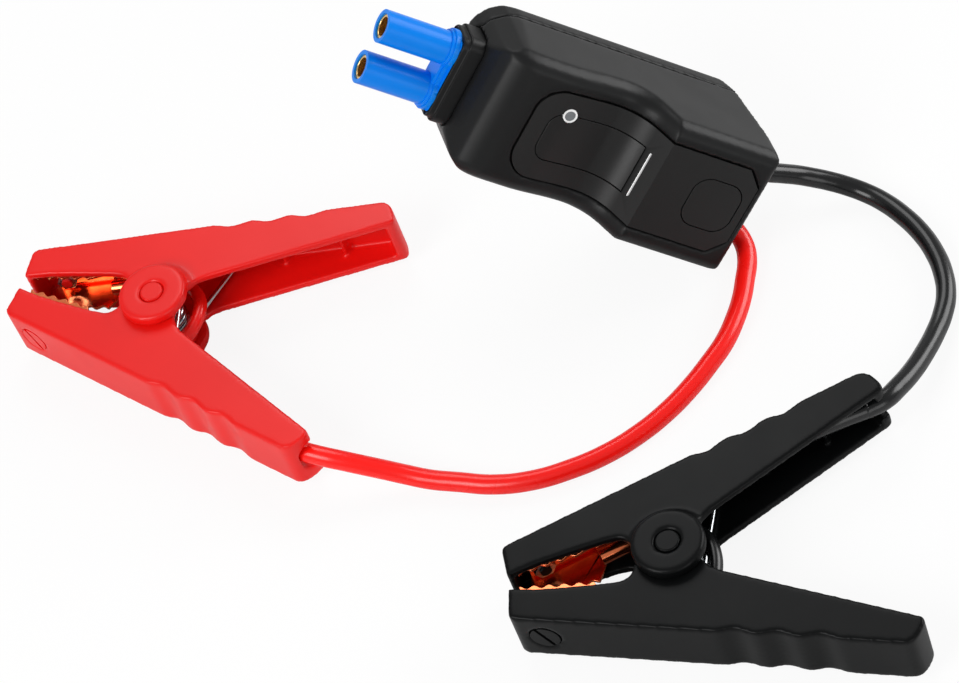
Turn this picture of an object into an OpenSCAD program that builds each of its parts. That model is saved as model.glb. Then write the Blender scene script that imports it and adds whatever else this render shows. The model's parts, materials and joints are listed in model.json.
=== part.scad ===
// Smart jumper lead for a pocket jump starter: a control module with a two-pole
// bullet connector, two silicone leads and two spring clamps, lying on a bench.
// Millimetres, +Z up. The origin is on the bench, under the middle of the solid pieces.

/* [Clamp handle] */
// Distance from the pivot to the nose of a handle
nose_x = 40; // [36:0.5:44]
// Height of the outer face above the pivot line, at the nose
nose_y = 11.1; // [10:0.1:12.5]
// Slope of the outer face, in degrees
face_tilt = 17.4; // [15:0.1:19]
// Distance from the nose to the end of a handle, along the pivot line
handle_run = 93; // [88:1:98]
// Half of the width over the two side walls
handle_half = 8.15; // [7.6:0.05:9]
// Thickness of the side walls
side_wall = 2.2; // [1.8:0.1:2.6]
// Thickness of the outer web, the nose wall and the end wall
web_wall = 2.6; // [2.2:0.1:3]
// Depth of the finger ripples
ripple_depth = 1.1; // [0.4:0.1:1.4]
// Length of one finger ripple
ripple_pitch = 10; // [8:0.5:11]
// Number of finger ripples
ripple_count = 3; // [1:1:3]

/* [Clamp pivot] */
// Radius of the raised pivot disc
disc_r = 9.3; // [8.8:0.1:10]
// Height of the disc's face above the middle of the clamp
disc_top = 11.6; // [11:0.1:12.5]
// Radius of the inner ear
ear_r = 7.4; // [7:0.1:7.8]
// Radius of the pivot pin
pin_r = 2.2; // [1.8:0.1:2.6]
// Radius of the pin's flat head
pin_head_r = 3.1; // [2.8:0.1:3.6]
// Thickness of the pin's flat head
pin_head_t = 1.4; // [1:0.1:1.8]
// Radial clearance of the pin in the ears
pin_fit = 0.05; // [0.02:0.01:0.1]
// Outer radius of the spacer sleeve
sleeve_r = 4.1; // [3.6:0.1:4.3]

/* [Torsion spring] */
// Mean radius of the coil
spring_r = 5.6; // [5.4:0.05:5.8]
// Radius of the spring wire
spring_wire_r = 0.75; // [0.6:0.05:0.8]
// Whole turns of the coil, less the angle between the legs
spring_turns = 4; // [3:1:4]
// Length of each leg
spring_leg = 24; // [14:1:25]

/* [Jaws] */
// Thickness of the jaw plate
jaw_t = 0.9; // [0.7:0.1:1.2]
// Half of the width over a jaw's two toothed sides
jaw_half = 5.4; // [4.6:0.1:5.6]
// Length of the toothed edge
tooth_run = 18.5; // [16:0.5:19]
// Number of teeth along one edge
tooth_count = 5; // [4:1:6]
// Depth of a tooth
tooth_depth = 0.9; // [0.5:0.1:1.2]
// Half of the gap between the closed jaws, at the tips
tip_gap = 0.15; // [0.15:0.05:0.4]
// Radius of the jaw screw's head
screw_head_r = 3.8; // [3.2:0.1:4]
// Thickness of the jaw screw's head
screw_head_t = 1.3; // [1:0.1:1.5]
// Radius of the jaw screw's shank
screw_r = 1.5; // [1.2:0.1:1.7]

/* [Control module] */
// Length of the module at its top
case_len = 78.8; // [75:0.2:83]
// Length of the module's base
base_len = 69.6; // [67:0.2:73]
// Half of the module's width at its base
base_half = 19.3; // [18.8:0.1:20.5]
// Half of the module's width at its top
top_half = 18.6; // [18:0.1:19.6]
// Height of the rear deck
rear_deck = 36.8; // [35.5:0.1:38]
// Height of the front deck
front_deck = 27.7; // [27:0.1:28.5]
// Height of the bottom of the thumb dip
dip_deck = 25.7; // [25:0.1:26.5]
// Distance from the front to the bottom of the thumb dip
dip_x = 35.6; // [34.5:0.1:36.5]
// Radius at the foot of the dip's rear wall
dip_r = 11; // [10:0.5:12]
// Slope of the dip's rear wall, in degrees
dip_slope = 60; // [57:1:63]
// Radius of the edges round the decks
deck_edge = 4; // [3:0.5:5]
// Thickness of the side walls
case_wall = 2; // [1.6:0.1:2.4]
// Thickness of the upper shell under the trim panel
deck_wall = 1.6; // [1.4:0.1:2]
// Height of the joint between the two shells
parting_z = 5.9; // [5.5:0.1:6.5]
// Width of the shadow groove along that joint
parting_gap = 0.5; // [0.3:0.1:0.7]

/* [Trim panel and button] */
// Half of the panel's width
panel_half = 12.8; // [12:0.1:13.2]
// Thickness of the panel
panel_t = 1.6; // [1.4:0.1:2]
// Width of the gap round the panel, the window and the button
panel_gap = 0.3; // [0.2:0.05:0.4]
// Half of the width of the window
window_half = 6.8; // [6:0.1:7.5]
// Thickness of the window
window_t = 0.8; // [0.6:0.1:1]
// Side of the square button
button_side = 14; // [13:0.1:15]
// Radius of the button's corners
button_corner = 4.5; // [3:0.1:5]
// Travel of the button
button_travel = 0.8; // [0.5:0.1:0.9]

/* [Connector] */
// Distance between the two contacts
contact_pitch = 12.4; // [12.4:0.1:13]
// Radius of the moulded tubes
tube_r = 4.4; // [4.3:0.05:4.6]
// Length of the moulded tubes
tube_len = 18; // [15:0.5:19]
// Inner radius of the contacts
contact_bore_r = 2.5; // [2.4:0.05:2.6]
// Outer radius of the contacts
contact_r = 3.3; // [3.1:0.05:3.5]
// Depth of the contact bores
contact_depth = 13; // [10:0.5:14]
// Half of the flange's width
flange_half = 11.6; // [11.2:0.1:12]
// Thickness of the flange
flange_t = 2.2; // [1.8:0.1:2.8]
// Distance that the collar stands out of the module
collar_out = 4.3; // [3.5:0.1:5.5]

/* [Leads] */
// Radius of the leads
lead_r = 2.6; // [2.3:0.05:2.65]
// Radius of the bridge wires
bridge_r = 1.9; // [1.6:0.05:2]

/* [Placing] */
// Pivot of the red clamp on the bench
red_pivot = [-62.4, 78];
// Direction of the red clamp, in degrees
red_yaw = -36.9; // [-45:0.1:-30]
// Pivot of the black clamp on the bench
black_pivot = [35.6, -60.5];
// Direction of the black clamp, in degrees
black_yaw = -13.4; // [-20:0.1:-8]
// Front end of the module's base, in the middle of its width
case_pos = [34.45, 76.2, 62.95];
// Attitude of the module
case_turn = [70, 43.9, -14.7];

/* [Hidden] */
$fn = 48;
touch = 0.02;        // skin left between pieces that bear on each other
free_gap = 0.3;      // clearance between pieces of different bodies
beyond = 60;         // reaches past the module on every side
tan_face = tan(face_tilt);
inner_half = handle_half - side_wall;
ear_clear_r = ear_r + 0.4;
disc_under = handle_half + 0.25;
handle_end_x = handle_run - nose_x;
sleeve_half = inner_half - 0.1;

// Routes of the free leads, from the module to the clamp
red_route = [
    [81.74, 36.68, 10.72], [83.3, 35.9, 8.9], [84.6, 34.7, 7.2], [85.4, 33, 5.7], [85.8, 31.1, 4.3],
    [85.7, 28.8, 3.3], [85.1, 26.5, 2.8], [84.1, 24, 2.6], [82.2, 20.4, 2.6], [79.3, 15.1, 2.6],
    [75.2, 9.4, 2.6], [70.4, 4.1, 2.6], [64.6, -0.4, 2.6], [57.6, -5.1, 2.6], [49.6, -9.3, 2.6],
    [40.2, -12.6, 2.6], [30.6, -14.3, 2.6], [21, -14.3, 2.6], [11.2, -12.9, 2.6], [1.8, -9.4, 2.6],
    [-6.4, -4.4, 2.8], [-12.8, -0.6, 3.4], [-18, 2.9, 4.6], [-22.8, 5.8, 6.4], [-27.6, 8.4, 8.5],
    [-31.8, 10.8, 10.2], [-35.2, 13, 11.2], [-37.8, 15.1, 11.55], [-40, 17.3, 11.6], [-41.43, 19.6, 11.6]
];
black_route = [
    [93.21, 39.33, 21.55], [95.4, 38.9, 19.45], [97.3, 38.8, 17.7], [99, 38.8, 16.15], [100.8, 38.9, 14.7],
    [102.6, 38.9, 13.3], [105.6, 38.8, 11], [108.9, 37.9, 8.9], [112.4, 36.6, 6.8], [116.4, 34.3, 4.7],
    [120.4, 30.6, 3.2], [123.4, 26.1, 2.7], [126.2, 19.5, 2.6], [128.2, 11.9, 2.6], [128.9, 4.5, 2.6],
    [128.4, -2.4, 2.6], [126.4, -9.5, 2.6], [123.2, -15, 2.8], [119.2, -20.1, 3.6], [114.4, -25.8, 5.6],
    [109, -31.5, 8], [103.8, -35.9, 10.2], [99.2, -38.75, 11.5], [93.92, -39.32, 11.6]
];

red_plastic = [0.83, 0.06, 0.05];
black_plastic = [0.07, 0.07, 0.08];

// ---------------------------------------------------------------- sweeps

function unit(v) = v / norm(v);
function tangent_at(p, i, first, last) =
    i == 0 ? unit(first) :
    i == len(p) - 1 ? unit(last) :
    unit(unit(p[i] - p[i - 1]) + unit(p[i + 1] - p[i]));
// Carries the side vector from ring to ring without twisting it
function carried(n, t) = unit(n - (n * t) * t);
function side_vectors(p, t, i = 0, n = [0.13, 0.21, 0.97]) =
    i == len(p) ? [] :
    let (m = carried(n, t[i])) concat([m], side_vectors(p, t, i + 1, m));

// A closed tube of `sides` sides along the points p, square to `first` and `last` at its ends
module swept_tube(p, r, sides, first, last) {
    t = [for (i = [0 : len(p) - 1]) tangent_at(p, i, first, last)];
    n = side_vectors(p, t);
    points = [for (i = [0 : len(p) - 1]) for (k = [0 : sides - 1])
        let (a = 360 * k / sides, b = cross(t[i], n[i])) p[i] + r * (cos(a) * n[i] + sin(a) * b)];
    walls = [for (i = [0 : len(p) - 2]) for (k = [0 : sides - 1])
        let (a = i * sides + k, b = i * sides + (k + 1) % sides)
        each [[a, a + sides, b], [b, a + sides, b + sides]]];
    caps = [for (k = [1 : sides - 2])
        each [[0, k, k + 1], [len(points) - sides, len(points) - sides + k + 1, len(points) - sides + k]]];
    polyhedron(points = points, faces = concat(walls, caps), convexity = 10);
}

// ---------------------------------------------------------------- outlines

// Height of the handle's outer face at x, with its finger ripples
ripple_x0 = 7.5;
function face_y(x) = nose_y + tan_face * (x + nose_x);
function ripple_y(x) =
    let (s = x - ripple_x0)
    s <= 0 || s >= ripple_pitch * ripple_count ? face_y(x) :
    face_y(x) - ripple_depth * (1 - cos(360 * s / ripple_pitch)) / 2;
function arc_points(c, r, a0, a1, steps) =
    [for (i = [0 : steps]) let (a = a0 + (a1 - a0) * i / steps) c + r * [cos(a), sin(a)]];

// End of the handle: its outer corner, its inner corner and the line between them
end_outer = [handle_end_x, face_y(handle_end_x)];
end_drop = 7.5;
end_dir = [sin(34), -cos(34)];
end_inner = end_outer + end_drop * end_dir;
end_normal = [cos(34), sin(34)];
// Round end: outer corner, crowned end and rim corner, each an arc from one normal to the next
function next_centre(c, r0, r1, a) = c + (r0 - r1) * [cos(a), sin(a)];
corner_r = 3.4;
crown_r_end = 11;
rim_r = 1.4;
end_turns = [90 + face_tilt, 45, 20, -60];
corner_x = handle_end_x - 1.7;
corner_c = [corner_x, face_y(corner_x)] - corner_r * [cos(end_turns[0]), sin(end_turns[0])];
crown_c = next_centre(corner_c, corner_r, crown_r_end, end_turns[1]);
rim_c = next_centre(crown_c, crown_r_end, rim_r, end_turns[2]);

// Outer face from the nose to the end corner
outer_line = concat(
    [[-nose_x - 1.4, nose_y - 1.6], [-nose_x - 0.9, nose_y - 0.7], [-nose_x, nose_y]],
    [for (i = [0 : 8 * ripple_count])
        let (x = ripple_x0 + ripple_pitch * i / 8) [x, ripple_y(x)]],
    arc_points(corner_c, corner_r, end_turns[0], end_turns[1], 4)
);
end_line = concat(
    arc_points(crown_c, crown_r_end, end_turns[1], end_turns[2], 3),
    arc_points(rim_c, rim_r, end_turns[2], end_turns[3], 3)
);
mouth_line = [
    [-9.2, 2.4], [-9.9, 4.4], [-11, 5.6], [-12.6, 6.2], [-16, 6.1], [-22, 5.3], [-28, 4.5],
    [-34, 3.5], [-nose_x + 1, 2.2], [-nose_x - 0.7, 1.8]
];
handle_outline = concat(
    outer_line,
    [for (i = [1 : len(end_line) - 1]) end_line[i]],
    [[11, 8.7], [9, 7.1], [7.2, 4.6], [6.4, 2.4]],
    mouth_line
);

// Lies flat on the outer face: x runs from the nose along the face, y points out of it
module on_face() {
    translate([-nose_x, nose_y, 0]) rotate([0, 0, face_tilt]) children();
}
// A point given along the face and by its depth under it, in the clamp's own frame
function under_face(u, d) =
    [-nose_x + u * cos(face_tilt) + d * sin(face_tilt), nose_y + u * sin(face_tilt) - d * cos(face_tilt)];
// A round bar along the face, from u0 to u1
module face_bar(u0, u1, d, r, z = 0) {
    on_face() translate([u0, -d, z]) rotate([0, 90, 0]) cylinder(r = r, h = u1 - u0);
}
// A round bar square to the face, from depth d0 down to d1
module face_pin(u, d0, d1, r, sides = 48) {
    on_face() translate([u, -d0, 0]) rotate([90, 0, 0]) cylinder(r = r, h = d1 - d0, $fn = sides);
}

screw_u = 6;
lead_depth = web_wall + free_gap + lead_r;
end_u = (handle_end_x + nose_x) / cos(face_tilt) - 1;
jaw_web_depth = web_wall + touch;
lug_depth = jaw_web_depth + jaw_t + touch;
lug_t = 0.8;
nut_depth = lug_depth + lug_t + touch;
nut_t = 2.2;
crimp_r = 2;
crimp_wall = 0.4;
crimp_u0 = 19.5;
crimp_u1 = 27.3;
lead_crimp_depth = lug_depth + lug_t + crimp_r;
bridge_crimp_depth = lead_crimp_depth + 2 * crimp_r + 0.2;

// ---------------------------------------------------------------- clamp pieces

// One handle moulding: U-channel, nose and end walls, ribs, an inner ear on the -z side and
// the raised disc on the +z side. Two of the same moulding make a clamp.
module handle_moulding(has_lead) {
    difference() {
        handle_body();
        // pivot bore and the two seats of the pin's heads
        translate([0, 0, -2 * disc_top]) cylinder(r = pin_r + pin_fit, h = 4 * disc_top);
        translate([0, 0, disc_top - pin_head_t - 0.1]) cylinder(r = pin_head_r + 0.25, h = 3);
        // seat of the jaw screw
        face_pin(screw_u, -1, screw_head_t, screw_head_r + 0.15);
        face_pin(screw_u, -1, web_wall + 1, screw_r + 0.1);
        // way out for the lead, an oval across the end wall
        if (has_lead) {
            lead_way_out();
            // notches in the ribs under the lead
            face_bar(30, end_u - 2, lead_depth, lead_r + 0.25);
        }
    }
}
module handle_body() {
    // side wall on the disc's side, cut back round the other handle's ear
    translate([0, 0, inner_half]) linear_extrude(side_wall) difference() {
        polygon(handle_outline);
        circle(r = ear_clear_r);
    }
    // side wall that carries the inner ear
    translate([0, 0, -handle_half]) linear_extrude(side_wall) union() {
        polygon(handle_outline);
        circle(r = ear_r);
    }
    // web under the outer face
    translate([0, 0, -handle_half]) linear_extrude(2 * handle_half) intersection() {
        polygon(handle_outline);
        union() {
            polygon([
                under_face(-4, -6), under_face(-4, web_wall),
                under_face(end_u + 6, web_wall), under_face(end_u + 6, -6)
            ]);
            polygon([
                end_outer + 3 * end_normal, end_outer - web_wall * end_normal,
                end_inner - web_wall * end_normal + 3 * end_dir,
                end_inner + 3 * end_normal + 3 * end_dir
            ]);
            polygon([[-nose_x - 3, 12], [-nose_x - 3, 1], [-nose_x + 1, 1], [-nose_x + 0.4, 12]]);
        }
    }
    // stiffening ribs across the channel
    for (x = [24, 40]) translate([x, 0, -inner_half - touch])
        linear_extrude(2 * (inner_half + touch)) intersection() {
            translate([-x, 0]) polygon(handle_outline);
            translate([0, face_y(x) - web_wall - 3.2]) square([1.2, 6]);
        }
    // disc that stands over the other handle's ear, with its skirt on this handle
    translate([0, 0, disc_under]) cylinder(r = disc_r, h = disc_top - disc_under - 0.5);
    translate([0, 0, disc_top - 0.5]) cylinder(r1 = disc_r, r2 = disc_r - 0.5, h = 0.5);
    translate([0, 0, handle_half - touch]) linear_extrude(disc_under - handle_half + 2 * touch)
        intersection() {
            difference() {
                polygon(handle_outline);
                circle(r = ear_clear_r);
            }
            circle(r = disc_r + 1.4);
        }
    rotate([0, 0, 38]) rotate_extrude(angle = 104) polygon([
        [disc_r - 0.4, disc_under], [disc_r + 1.4, disc_under],
        [disc_r + 0.4, disc_under + 0.8], [disc_r - 0.4, disc_under + 2]
    ]);
}
// Oval hole through the end wall, along the handle
oval_r = 3.05;
oval_half = 1.4;
module lead_way_out() {
    on_face() translate([end_u - 8, -lead_depth, 0]) {
        for (s = [-1, 1]) translate([0, 0, s * oval_half]) rotate([0, 90, 0]) cylinder(r = oval_r, h = 20);
        translate([0, -oval_r, -oval_half]) cube([20, 2 * oval_r, 2 * oval_half]);
    }
}

// Toothed edges of a jaw, from the tip towards the pivot. The -z side reaches the other jaw at the
// tip, and the +z side is cut back, so a tall side always faces a short one.
tooth_x0 = -nose_x + 1.6;
tooth_pitch = tooth_run / tooth_count;
function tooth_wave(s) = tooth_depth * (1 - cos(360 * s / tooth_pitch)) / 2;
function toothed_edge(y0, slope, count) = [for (i = [0 : 6 * count])
    let (s = tooth_pitch * i / 6) [tooth_x0 + s, y0 + slope * s + tooth_wave(s)]];
tall_edge = toothed_edge(tip_gap, 0.165, tooth_count);
short_edge = toothed_edge(3.3, 0.135, tooth_count - 1);
jaw_u0 = 2.3;
jaw_u1 = 24;
short_u1 = 17.5;
module jaw_side(edge, u1, depth) {
    linear_extrude(jaw_t) polygon(concat(
        [under_face(jaw_u0, jaw_web_depth), [tooth_x0, edge[0][1] + 0.4]], edge,
        [under_face(u1 - 3.5, depth), under_face(u1, 6.5), under_face(u1, jaw_web_depth)]
    ));
}
module jaw() {
    translate([0, 0, -jaw_half]) jaw_side(tall_edge, jaw_u1, 9.6);
    translate([0, 0, jaw_half - jaw_t]) jaw_side(short_edge, jaw_u1, 9.6);
    difference() {
        on_face() translate([jaw_u0, -jaw_web_depth - jaw_t, -jaw_half])
            cube([jaw_u1 - jaw_u0, jaw_t, 2 * jaw_half]);
        face_pin(screw_u, 0, 8, screw_r + 0.1);
    }
}

slot_w = 0.9;
slot_depth = 0.75;
slot_turn = 30;
module jaw_screw() {
    difference() {
        union() {
            face_pin(screw_u, 0.05, screw_head_t - touch, screw_head_r);
            face_pin(screw_u, 0.1, nut_depth + nut_t + 0.6, screw_r);
        }
        // screwdriver slot
        on_face() translate([screw_u, 0, 0]) rotate([0, slot_turn, 0])
            translate([-slot_w / 2, -slot_depth, -5]) cube([slot_w, 2, 10]);
    }
}

module jaw_nut() {
    difference() {
        face_pin(screw_u, nut_depth, nut_depth + nut_t, 2.9, 6);
        face_pin(screw_u, nut_depth - 1, nut_depth + nut_t + 1, screw_r + 0.02);
    }
}

// Lug under the nut, with a crimp for the bridge wire and, on the cabled side, one for the lead
module lug(has_lead) {
    difference() {
        union() {
            on_face() translate([2.8, -lug_depth - lug_t, -3.2]) cube([crimp_u1 - 2.8, lug_t, 6.4]);
            if (has_lead) face_bar(crimp_u0, crimp_u1, lead_crimp_depth, crimp_r);
            face_bar(crimp_u0, crimp_u1, bridge_crimp_depth, crimp_r);
            on_face() translate([crimp_u0, -bridge_crimp_depth, -0.6])
                cube([crimp_u1 - crimp_u0, bridge_crimp_depth - lug_depth - 0.1, 1.2]);
        }
        face_pin(screw_u, 0, 12, screw_r + 0.1);
        if (has_lead) face_bar(crimp_u0 + 1.5, crimp_u1 + 1, lead_crimp_depth, crimp_r - crimp_wall);
        face_bar(crimp_u0 + 1.5, crimp_u1 + 1, bridge_crimp_depth, crimp_r - crimp_wall);
    }
}

module pivot_pin() {
    cylinder(r = pin_r, h = 2 * disc_top - 0.4, center = true);
    for (s = [0, 180]) rotate([s, 0, 0]) translate([0, 0, disc_top - pin_head_t]) {
        cylinder(r = pin_head_r, h = pin_head_t - 0.3);
        translate([0, 0, pin_head_t - 0.3]) cylinder(r1 = pin_head_r, r2 = pin_head_r - 0.3, h = 0.3);
    }
}

module spring_sleeve() {
    difference() {
        cylinder(r = sleeve_r, h = 2 * sleeve_half, center = true);
        cylinder(r = pin_r + pin_fit, h = 3 * sleeve_half, center = true);
    }
}

// Torsion spring: a coil round the sleeve and two straight legs that press the handles apart
leg_angle = 15;
spring_rise = 2 * (inner_half - spring_wire_r - 0.85);
coil_turn = 360 * spring_turns - 2 * leg_angle;
coil_steps = 8 * spring_turns;
leg_dir = [sin(leg_angle), cos(leg_angle), 0];
function coil_point(a, z) = [spring_r * cos(a), spring_r * sin(a), z];
spring_path = concat(
    [for (k = [2, 1])
        coil_point(leg_angle, spring_rise / 2) + k * spring_leg / 2 * [leg_dir[0], -leg_dir[1], 0]],
    [for (i = [0 : coil_steps])
        coil_point(leg_angle + coil_turn * i / coil_steps, spring_rise * (0.5 - i / coil_steps))],
    [for (k = [1, 2]) coil_point(-leg_angle, -spring_rise / 2) + k * spring_leg / 2 * leg_dir]
);
// Least distance between stretches of the wire that lie half a turn or more apart, less the wire
wire_points = [for (i = [0 : len(spring_path) - 2]) for (k = [0 : 3])
    spring_path[i] + (spring_path[i + 1] - spring_path[i]) * k / 4];
half_turn = 4 * 4;
spring_gap = min([for (i = [0 : len(wire_points) - half_turn - 1])
    for (j = [i + half_turn : len(wire_points) - 1]) norm(wire_points[i] - wire_points[j])])
    - 2 * spring_wire_r;
module torsion_spring() {
    swept_tube(spring_path, spring_wire_r, 6, spring_path[1] - spring_path[0], leg_dir);
}

// Bridge wire: from one lug, round the spring behind the pivot, to the other lug
bridge_end = under_face(crimp_u1 + touch, bridge_crimp_depth);
bridge_half = [
    bridge_end, under_face(crimp_u1 + 4, bridge_crimp_depth), [-2.4, 11.2], [1.6, 11.1], [5.4, 9.2],
    [8.2, 6.2], [9.4, 2.4]
];
bridge_path = [
    for (p = bridge_half) [p[0], p[1], 0],
    for (i = [len(bridge_half) - 1 : -1 : 0]) [bridge_half[i][0], -bridge_half[i][1], 0]
];
module bridge_wire() {
    swept_tube(bridge_path, bridge_r, 8, bridge_path[1] - bridge_path[0],
        bridge_path[len(bridge_path) - 1] - bridge_path[len(bridge_path) - 2]);
}

// Part of the lead that lies inside the handle, from the crimp to the end wall
handle_lead_u0 = crimp_u1 + touch;
lead_start_depth = bridge_crimp_depth - bridge_r - lead_r - 0.05;
module handle_lead() {
    p0 = under_face(handle_lead_u0, lead_start_depth);
    p1 = under_face(handle_lead_u0 + 5, lead_start_depth);
    p2 = under_face(end_u - 12, lead_depth);
    p3 = under_face(end_u - 2, lead_depth);
    dir = [cos(face_tilt), sin(face_tilt), 0];
    swept_tube([for (p = [p0, p1, p2, p3]) [p[0], p[1], 0]], lead_r, 12, dir, dir);
}

// ---------------------------------------------------------------- placing

module in_black_clamp() {
    translate([black_pivot[0], black_pivot[1], disc_top]) rotate([0, 0, black_yaw]) children();
}
// The red clamp lies the other way up, so its cabled handle is the lower one
module in_red_clamp() {
    translate([red_pivot[0], red_pivot[1], disc_top]) rotate([0, 0, red_yaw]) rotate([180, 0, 0]) children();
}
module squeeze_side() { rotate([180, 0, 0]) children(); }
module in_case() { translate(case_pos) rotate(case_turn) children(); }

// ---------------------------------------------------------------- control module

// Top line of the module from front to rear, moved by dx and lowered by dz
dip_foot = [dip_x + dip_r * sin(dip_slope), dip_deck + dip_r * (1 - cos(dip_slope))];
ridge_x = dip_foot[0] + (rear_deck - dip_foot[1]) / tan(dip_slope);
front_lean = 2.9;    // how far the front leans back from the base to the deck
front_x = -1.2;      // front of the base
crown_r = 11;        // arc between the front and the deck
crown_angle = 45;
crown_end = front_lean + crown_r * sin(crown_angle);
deck_x = 18;         // where the thumb dip begins
deck_steps = 8;
function dip_z(x) =
    dip_deck + (front_deck - dip_deck) * (1 + cos(180 * (x - deck_x) / (dip_x - deck_x))) / 2;
function top_line(dx, dz) = concat(
    arc_points([crown_end + dx, front_deck - crown_r - dz], crown_r, 90 + crown_angle, 90, 5),
    [for (i = [0 : deck_steps])
        let (x = deck_x + (dip_x - deck_x) * i / deck_steps) [x + dx, dip_z(x) - dz]],
    arc_points([dip_x + dx, dip_deck + dip_r - dz], dip_r, 276, 270 + dip_slope, 6),
    [[ridge_x + dx, rear_deck - dz]]
);
// Front line of the module: upright at the base, leaning back in an arc under the deck
lean_z = 10;         // height at which the lean begins
lean_h = front_deck - crown_r * (1 - cos(crown_angle)) - lean_z;
lean_run = front_lean - front_x;
lean_r = (lean_h * lean_h + lean_run * lean_run) / (2 * lean_run);
lean_angle = asin(lean_h / lean_r);
front_line = arc_points([front_x + lean_r, lean_z], lean_r, 180, 180 - lean_angle, 4);
heel = [4.2, 5.6];   // cut under the rear end: its run and its height
rear_edge = 1.5;     // bevel along the rear deck's end
function case_profile(o, top) = concat(
    [[front_x + o, o]],
    [for (i = [0 : 3]) front_line[i] + [o, 0]],
    top_line(o * 0.5, top),
    [[case_len - rear_edge - o, rear_deck - top], [case_len - o, rear_deck - rear_edge - top],
     [base_len + heel[0] - o, heel[1]], [base_len - o, o]]
);
foot_r = 2;          // edges along the base
function case_section(o) =
    let (b = base_half - o, t = top_half - o, r = foot_r) concat(
        arc_points([b - r, r + o], r, -90, 0, 3),
        [[t, rear_deck + 1], [-t, rear_deck + 1]],
        arc_points([-b + r, r + o], r, 180, 270, 3)
    );
front_r = 10;        // upright corners of the front, seen from above
rear_r = 3.5;        // the same at the rear
rear_in = 0.2;
function half_plan(o) = concat(
    arc_points([front_x + front_r, base_half - front_r], front_r - o, 180, 90, 4),
    arc_points([case_len - rear_r - rear_in, base_half - rear_r], rear_r - o, 90, 0, 3)
);
module case_plan(o) {
    polygon(concat(half_plan(o), reversed([for (p = half_plan(o)) [p[0], -p[1]]])));
}

// The module's outer form moved inwards by o, and by top at its upper face
module case_form(o, top) {
    intersection() {
        translate([0, base_half + 2, 0]) rotate([90, 0, 0])
            linear_extrude(2 * base_half + 4) polygon(case_profile(o, top));
        translate([front_x - 1, 0, 0]) rotate([90, 0, 90])
            linear_extrude(case_len - front_x + 2) polygon(case_section(o));
        linear_extrude(rear_deck + 1) case_plan(o);
        deck_edges(o, top);
        // rear corners, rounded along the sloping end
        for (s = [-1, 1]) rear_corner(o, s);
    }
}
// Edges round the decks: each step is the top line drawn out along a slanted direction
edge_steps = [30, 60];
module deck_edges(o, top) {
    intersection_for (a = edge_steps) intersection_for (s = [-1, 1]) {
        rise = (top_half - o) * sin(a) - top * cos(a) - deck_edge * (sin(a) + cos(a) - 1);
        rotate([90 - s * a, 0, 0]) translate([0, 0, -beyond]) linear_extrude(2 * beyond) polygon(concat(
            [[-5, -beyond], [-5, front_deck * cos(a) + rise]],
            [for (p = top_line(o * 0.5, 0)) [p[0], p[1] * cos(a) + rise]],
            [[case_len + 5, rear_deck * cos(a) + rise], [case_len + 5, -beyond]]
        ));
    }
}
corner_cut = 1.6;    // rounding of the rear corners along the sloping end
end_tilt = atan((case_len - base_len - heel[0]) / (rear_deck - heel[1]));
module rear_corner(o, s) {
    translate([base_len + heel[0] - o, s * (base_half - o), heel[1]]) rotate([0, end_tilt, s * 45])
        translate([-2 * beyond - corner_cut, -beyond, -beyond]) cube(2 * beyond);
}
function reversed(list) = [for (i = [len(list) - 1 : -1 : 0]) list[i]];
module slab(z0, z1) { translate([-beyond, -beyond, z0]) cube([4 * beyond, 2 * beyond, z1 - z0]); }

cavity_top = panel_t + deck_wall;
floor_t = 2.4;
screw_x = [9, base_len - 9.5];
screw_y = 13.6;
boss_r = 3;
module at_screws() { for (x = screw_x) for (s = [-1, 1]) translate([x, s * screw_y, 0]) children(); }
contact_z = 9.8;
collar_half = [12.8, 5.9];
lip_half = [12, 5.5];
body_half = [10.6, 4.9];
exit_y = 8;          // the leads leave side by side, high on the rear end
exit_z = 25;
exit_x = case_len - 2.4;
grommet_r = 3.9;
grommet_len = 3.4;

// Rounded bar along X: used for the collar and its openings
module rounded_bar(x0, x1, hy, hz, r) {
    translate([x0, 0, contact_z]) rotate([90, 0, 90]) linear_extrude(x1 - x0) union() {
        square([2 * (hy - r), 2 * hz], center = true);
        square([2 * hy, 2 * (hz - r)], center = true);
        for (sy = [-1, 1]) for (sz = [-1, 1]) translate([sy * (hy - r), sz * (hz - r)]) circle(r = r);
    }
}

module lower_shell() color(black_plastic) in_case() difference() {
    intersection() {
        case_form(0, 0);
        slab(-1, parting_z - touch / 2);
    }
    difference() {
        intersection() {
            case_form(case_wall, cavity_top);
            slab(floor_t, parting_z + 1);
        }
        at_screws() cylinder(r = boss_r, h = parting_z - 0.1);
    }
    parting_groove();
    rounded_bar(-5, 3.2, collar_half[0] + 0.1, collar_half[1] + 0.1, 3.1);
    rounded_bar(-5, 12, body_half[0] + 0.15, body_half[1] + 0.15, 2);
    at_screws() translate([0, 0, -1]) {
        cylinder(r = 1.4, h = 8);
        cylinder(r = 2.5, h = 2.4);
    }
}
groove_x = [8, base_len - 7.5];
module parting_groove() {
    difference() {
        translate([groove_x[0], -beyond, parting_z - parting_gap / 2])
            cube([groove_x[1] - groove_x[0], 2 * beyond, parting_gap]);
        case_form(0.8, 0.8);
    }
}

module panel_plan(grow) {
    r = 7 + grow;
    x0 = 14 - grow;
    x1 = case_len - 2.6 + grow;
    h = panel_half + grow;
    cut = 4.5;
    union() {
        polygon([[x0 + r, -h], [x1 - cut, -h], [x1, -h + cut], [x1, h - cut], [x1 - cut, h], [x0 + r, h]]);
        translate([x0, -h + r]) square([r + 1, 2 * (h - r)]);
        for (s = [-1, 1]) translate([x0 + r, s * (h - r)]) circle(r = r);
    }
}
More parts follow.
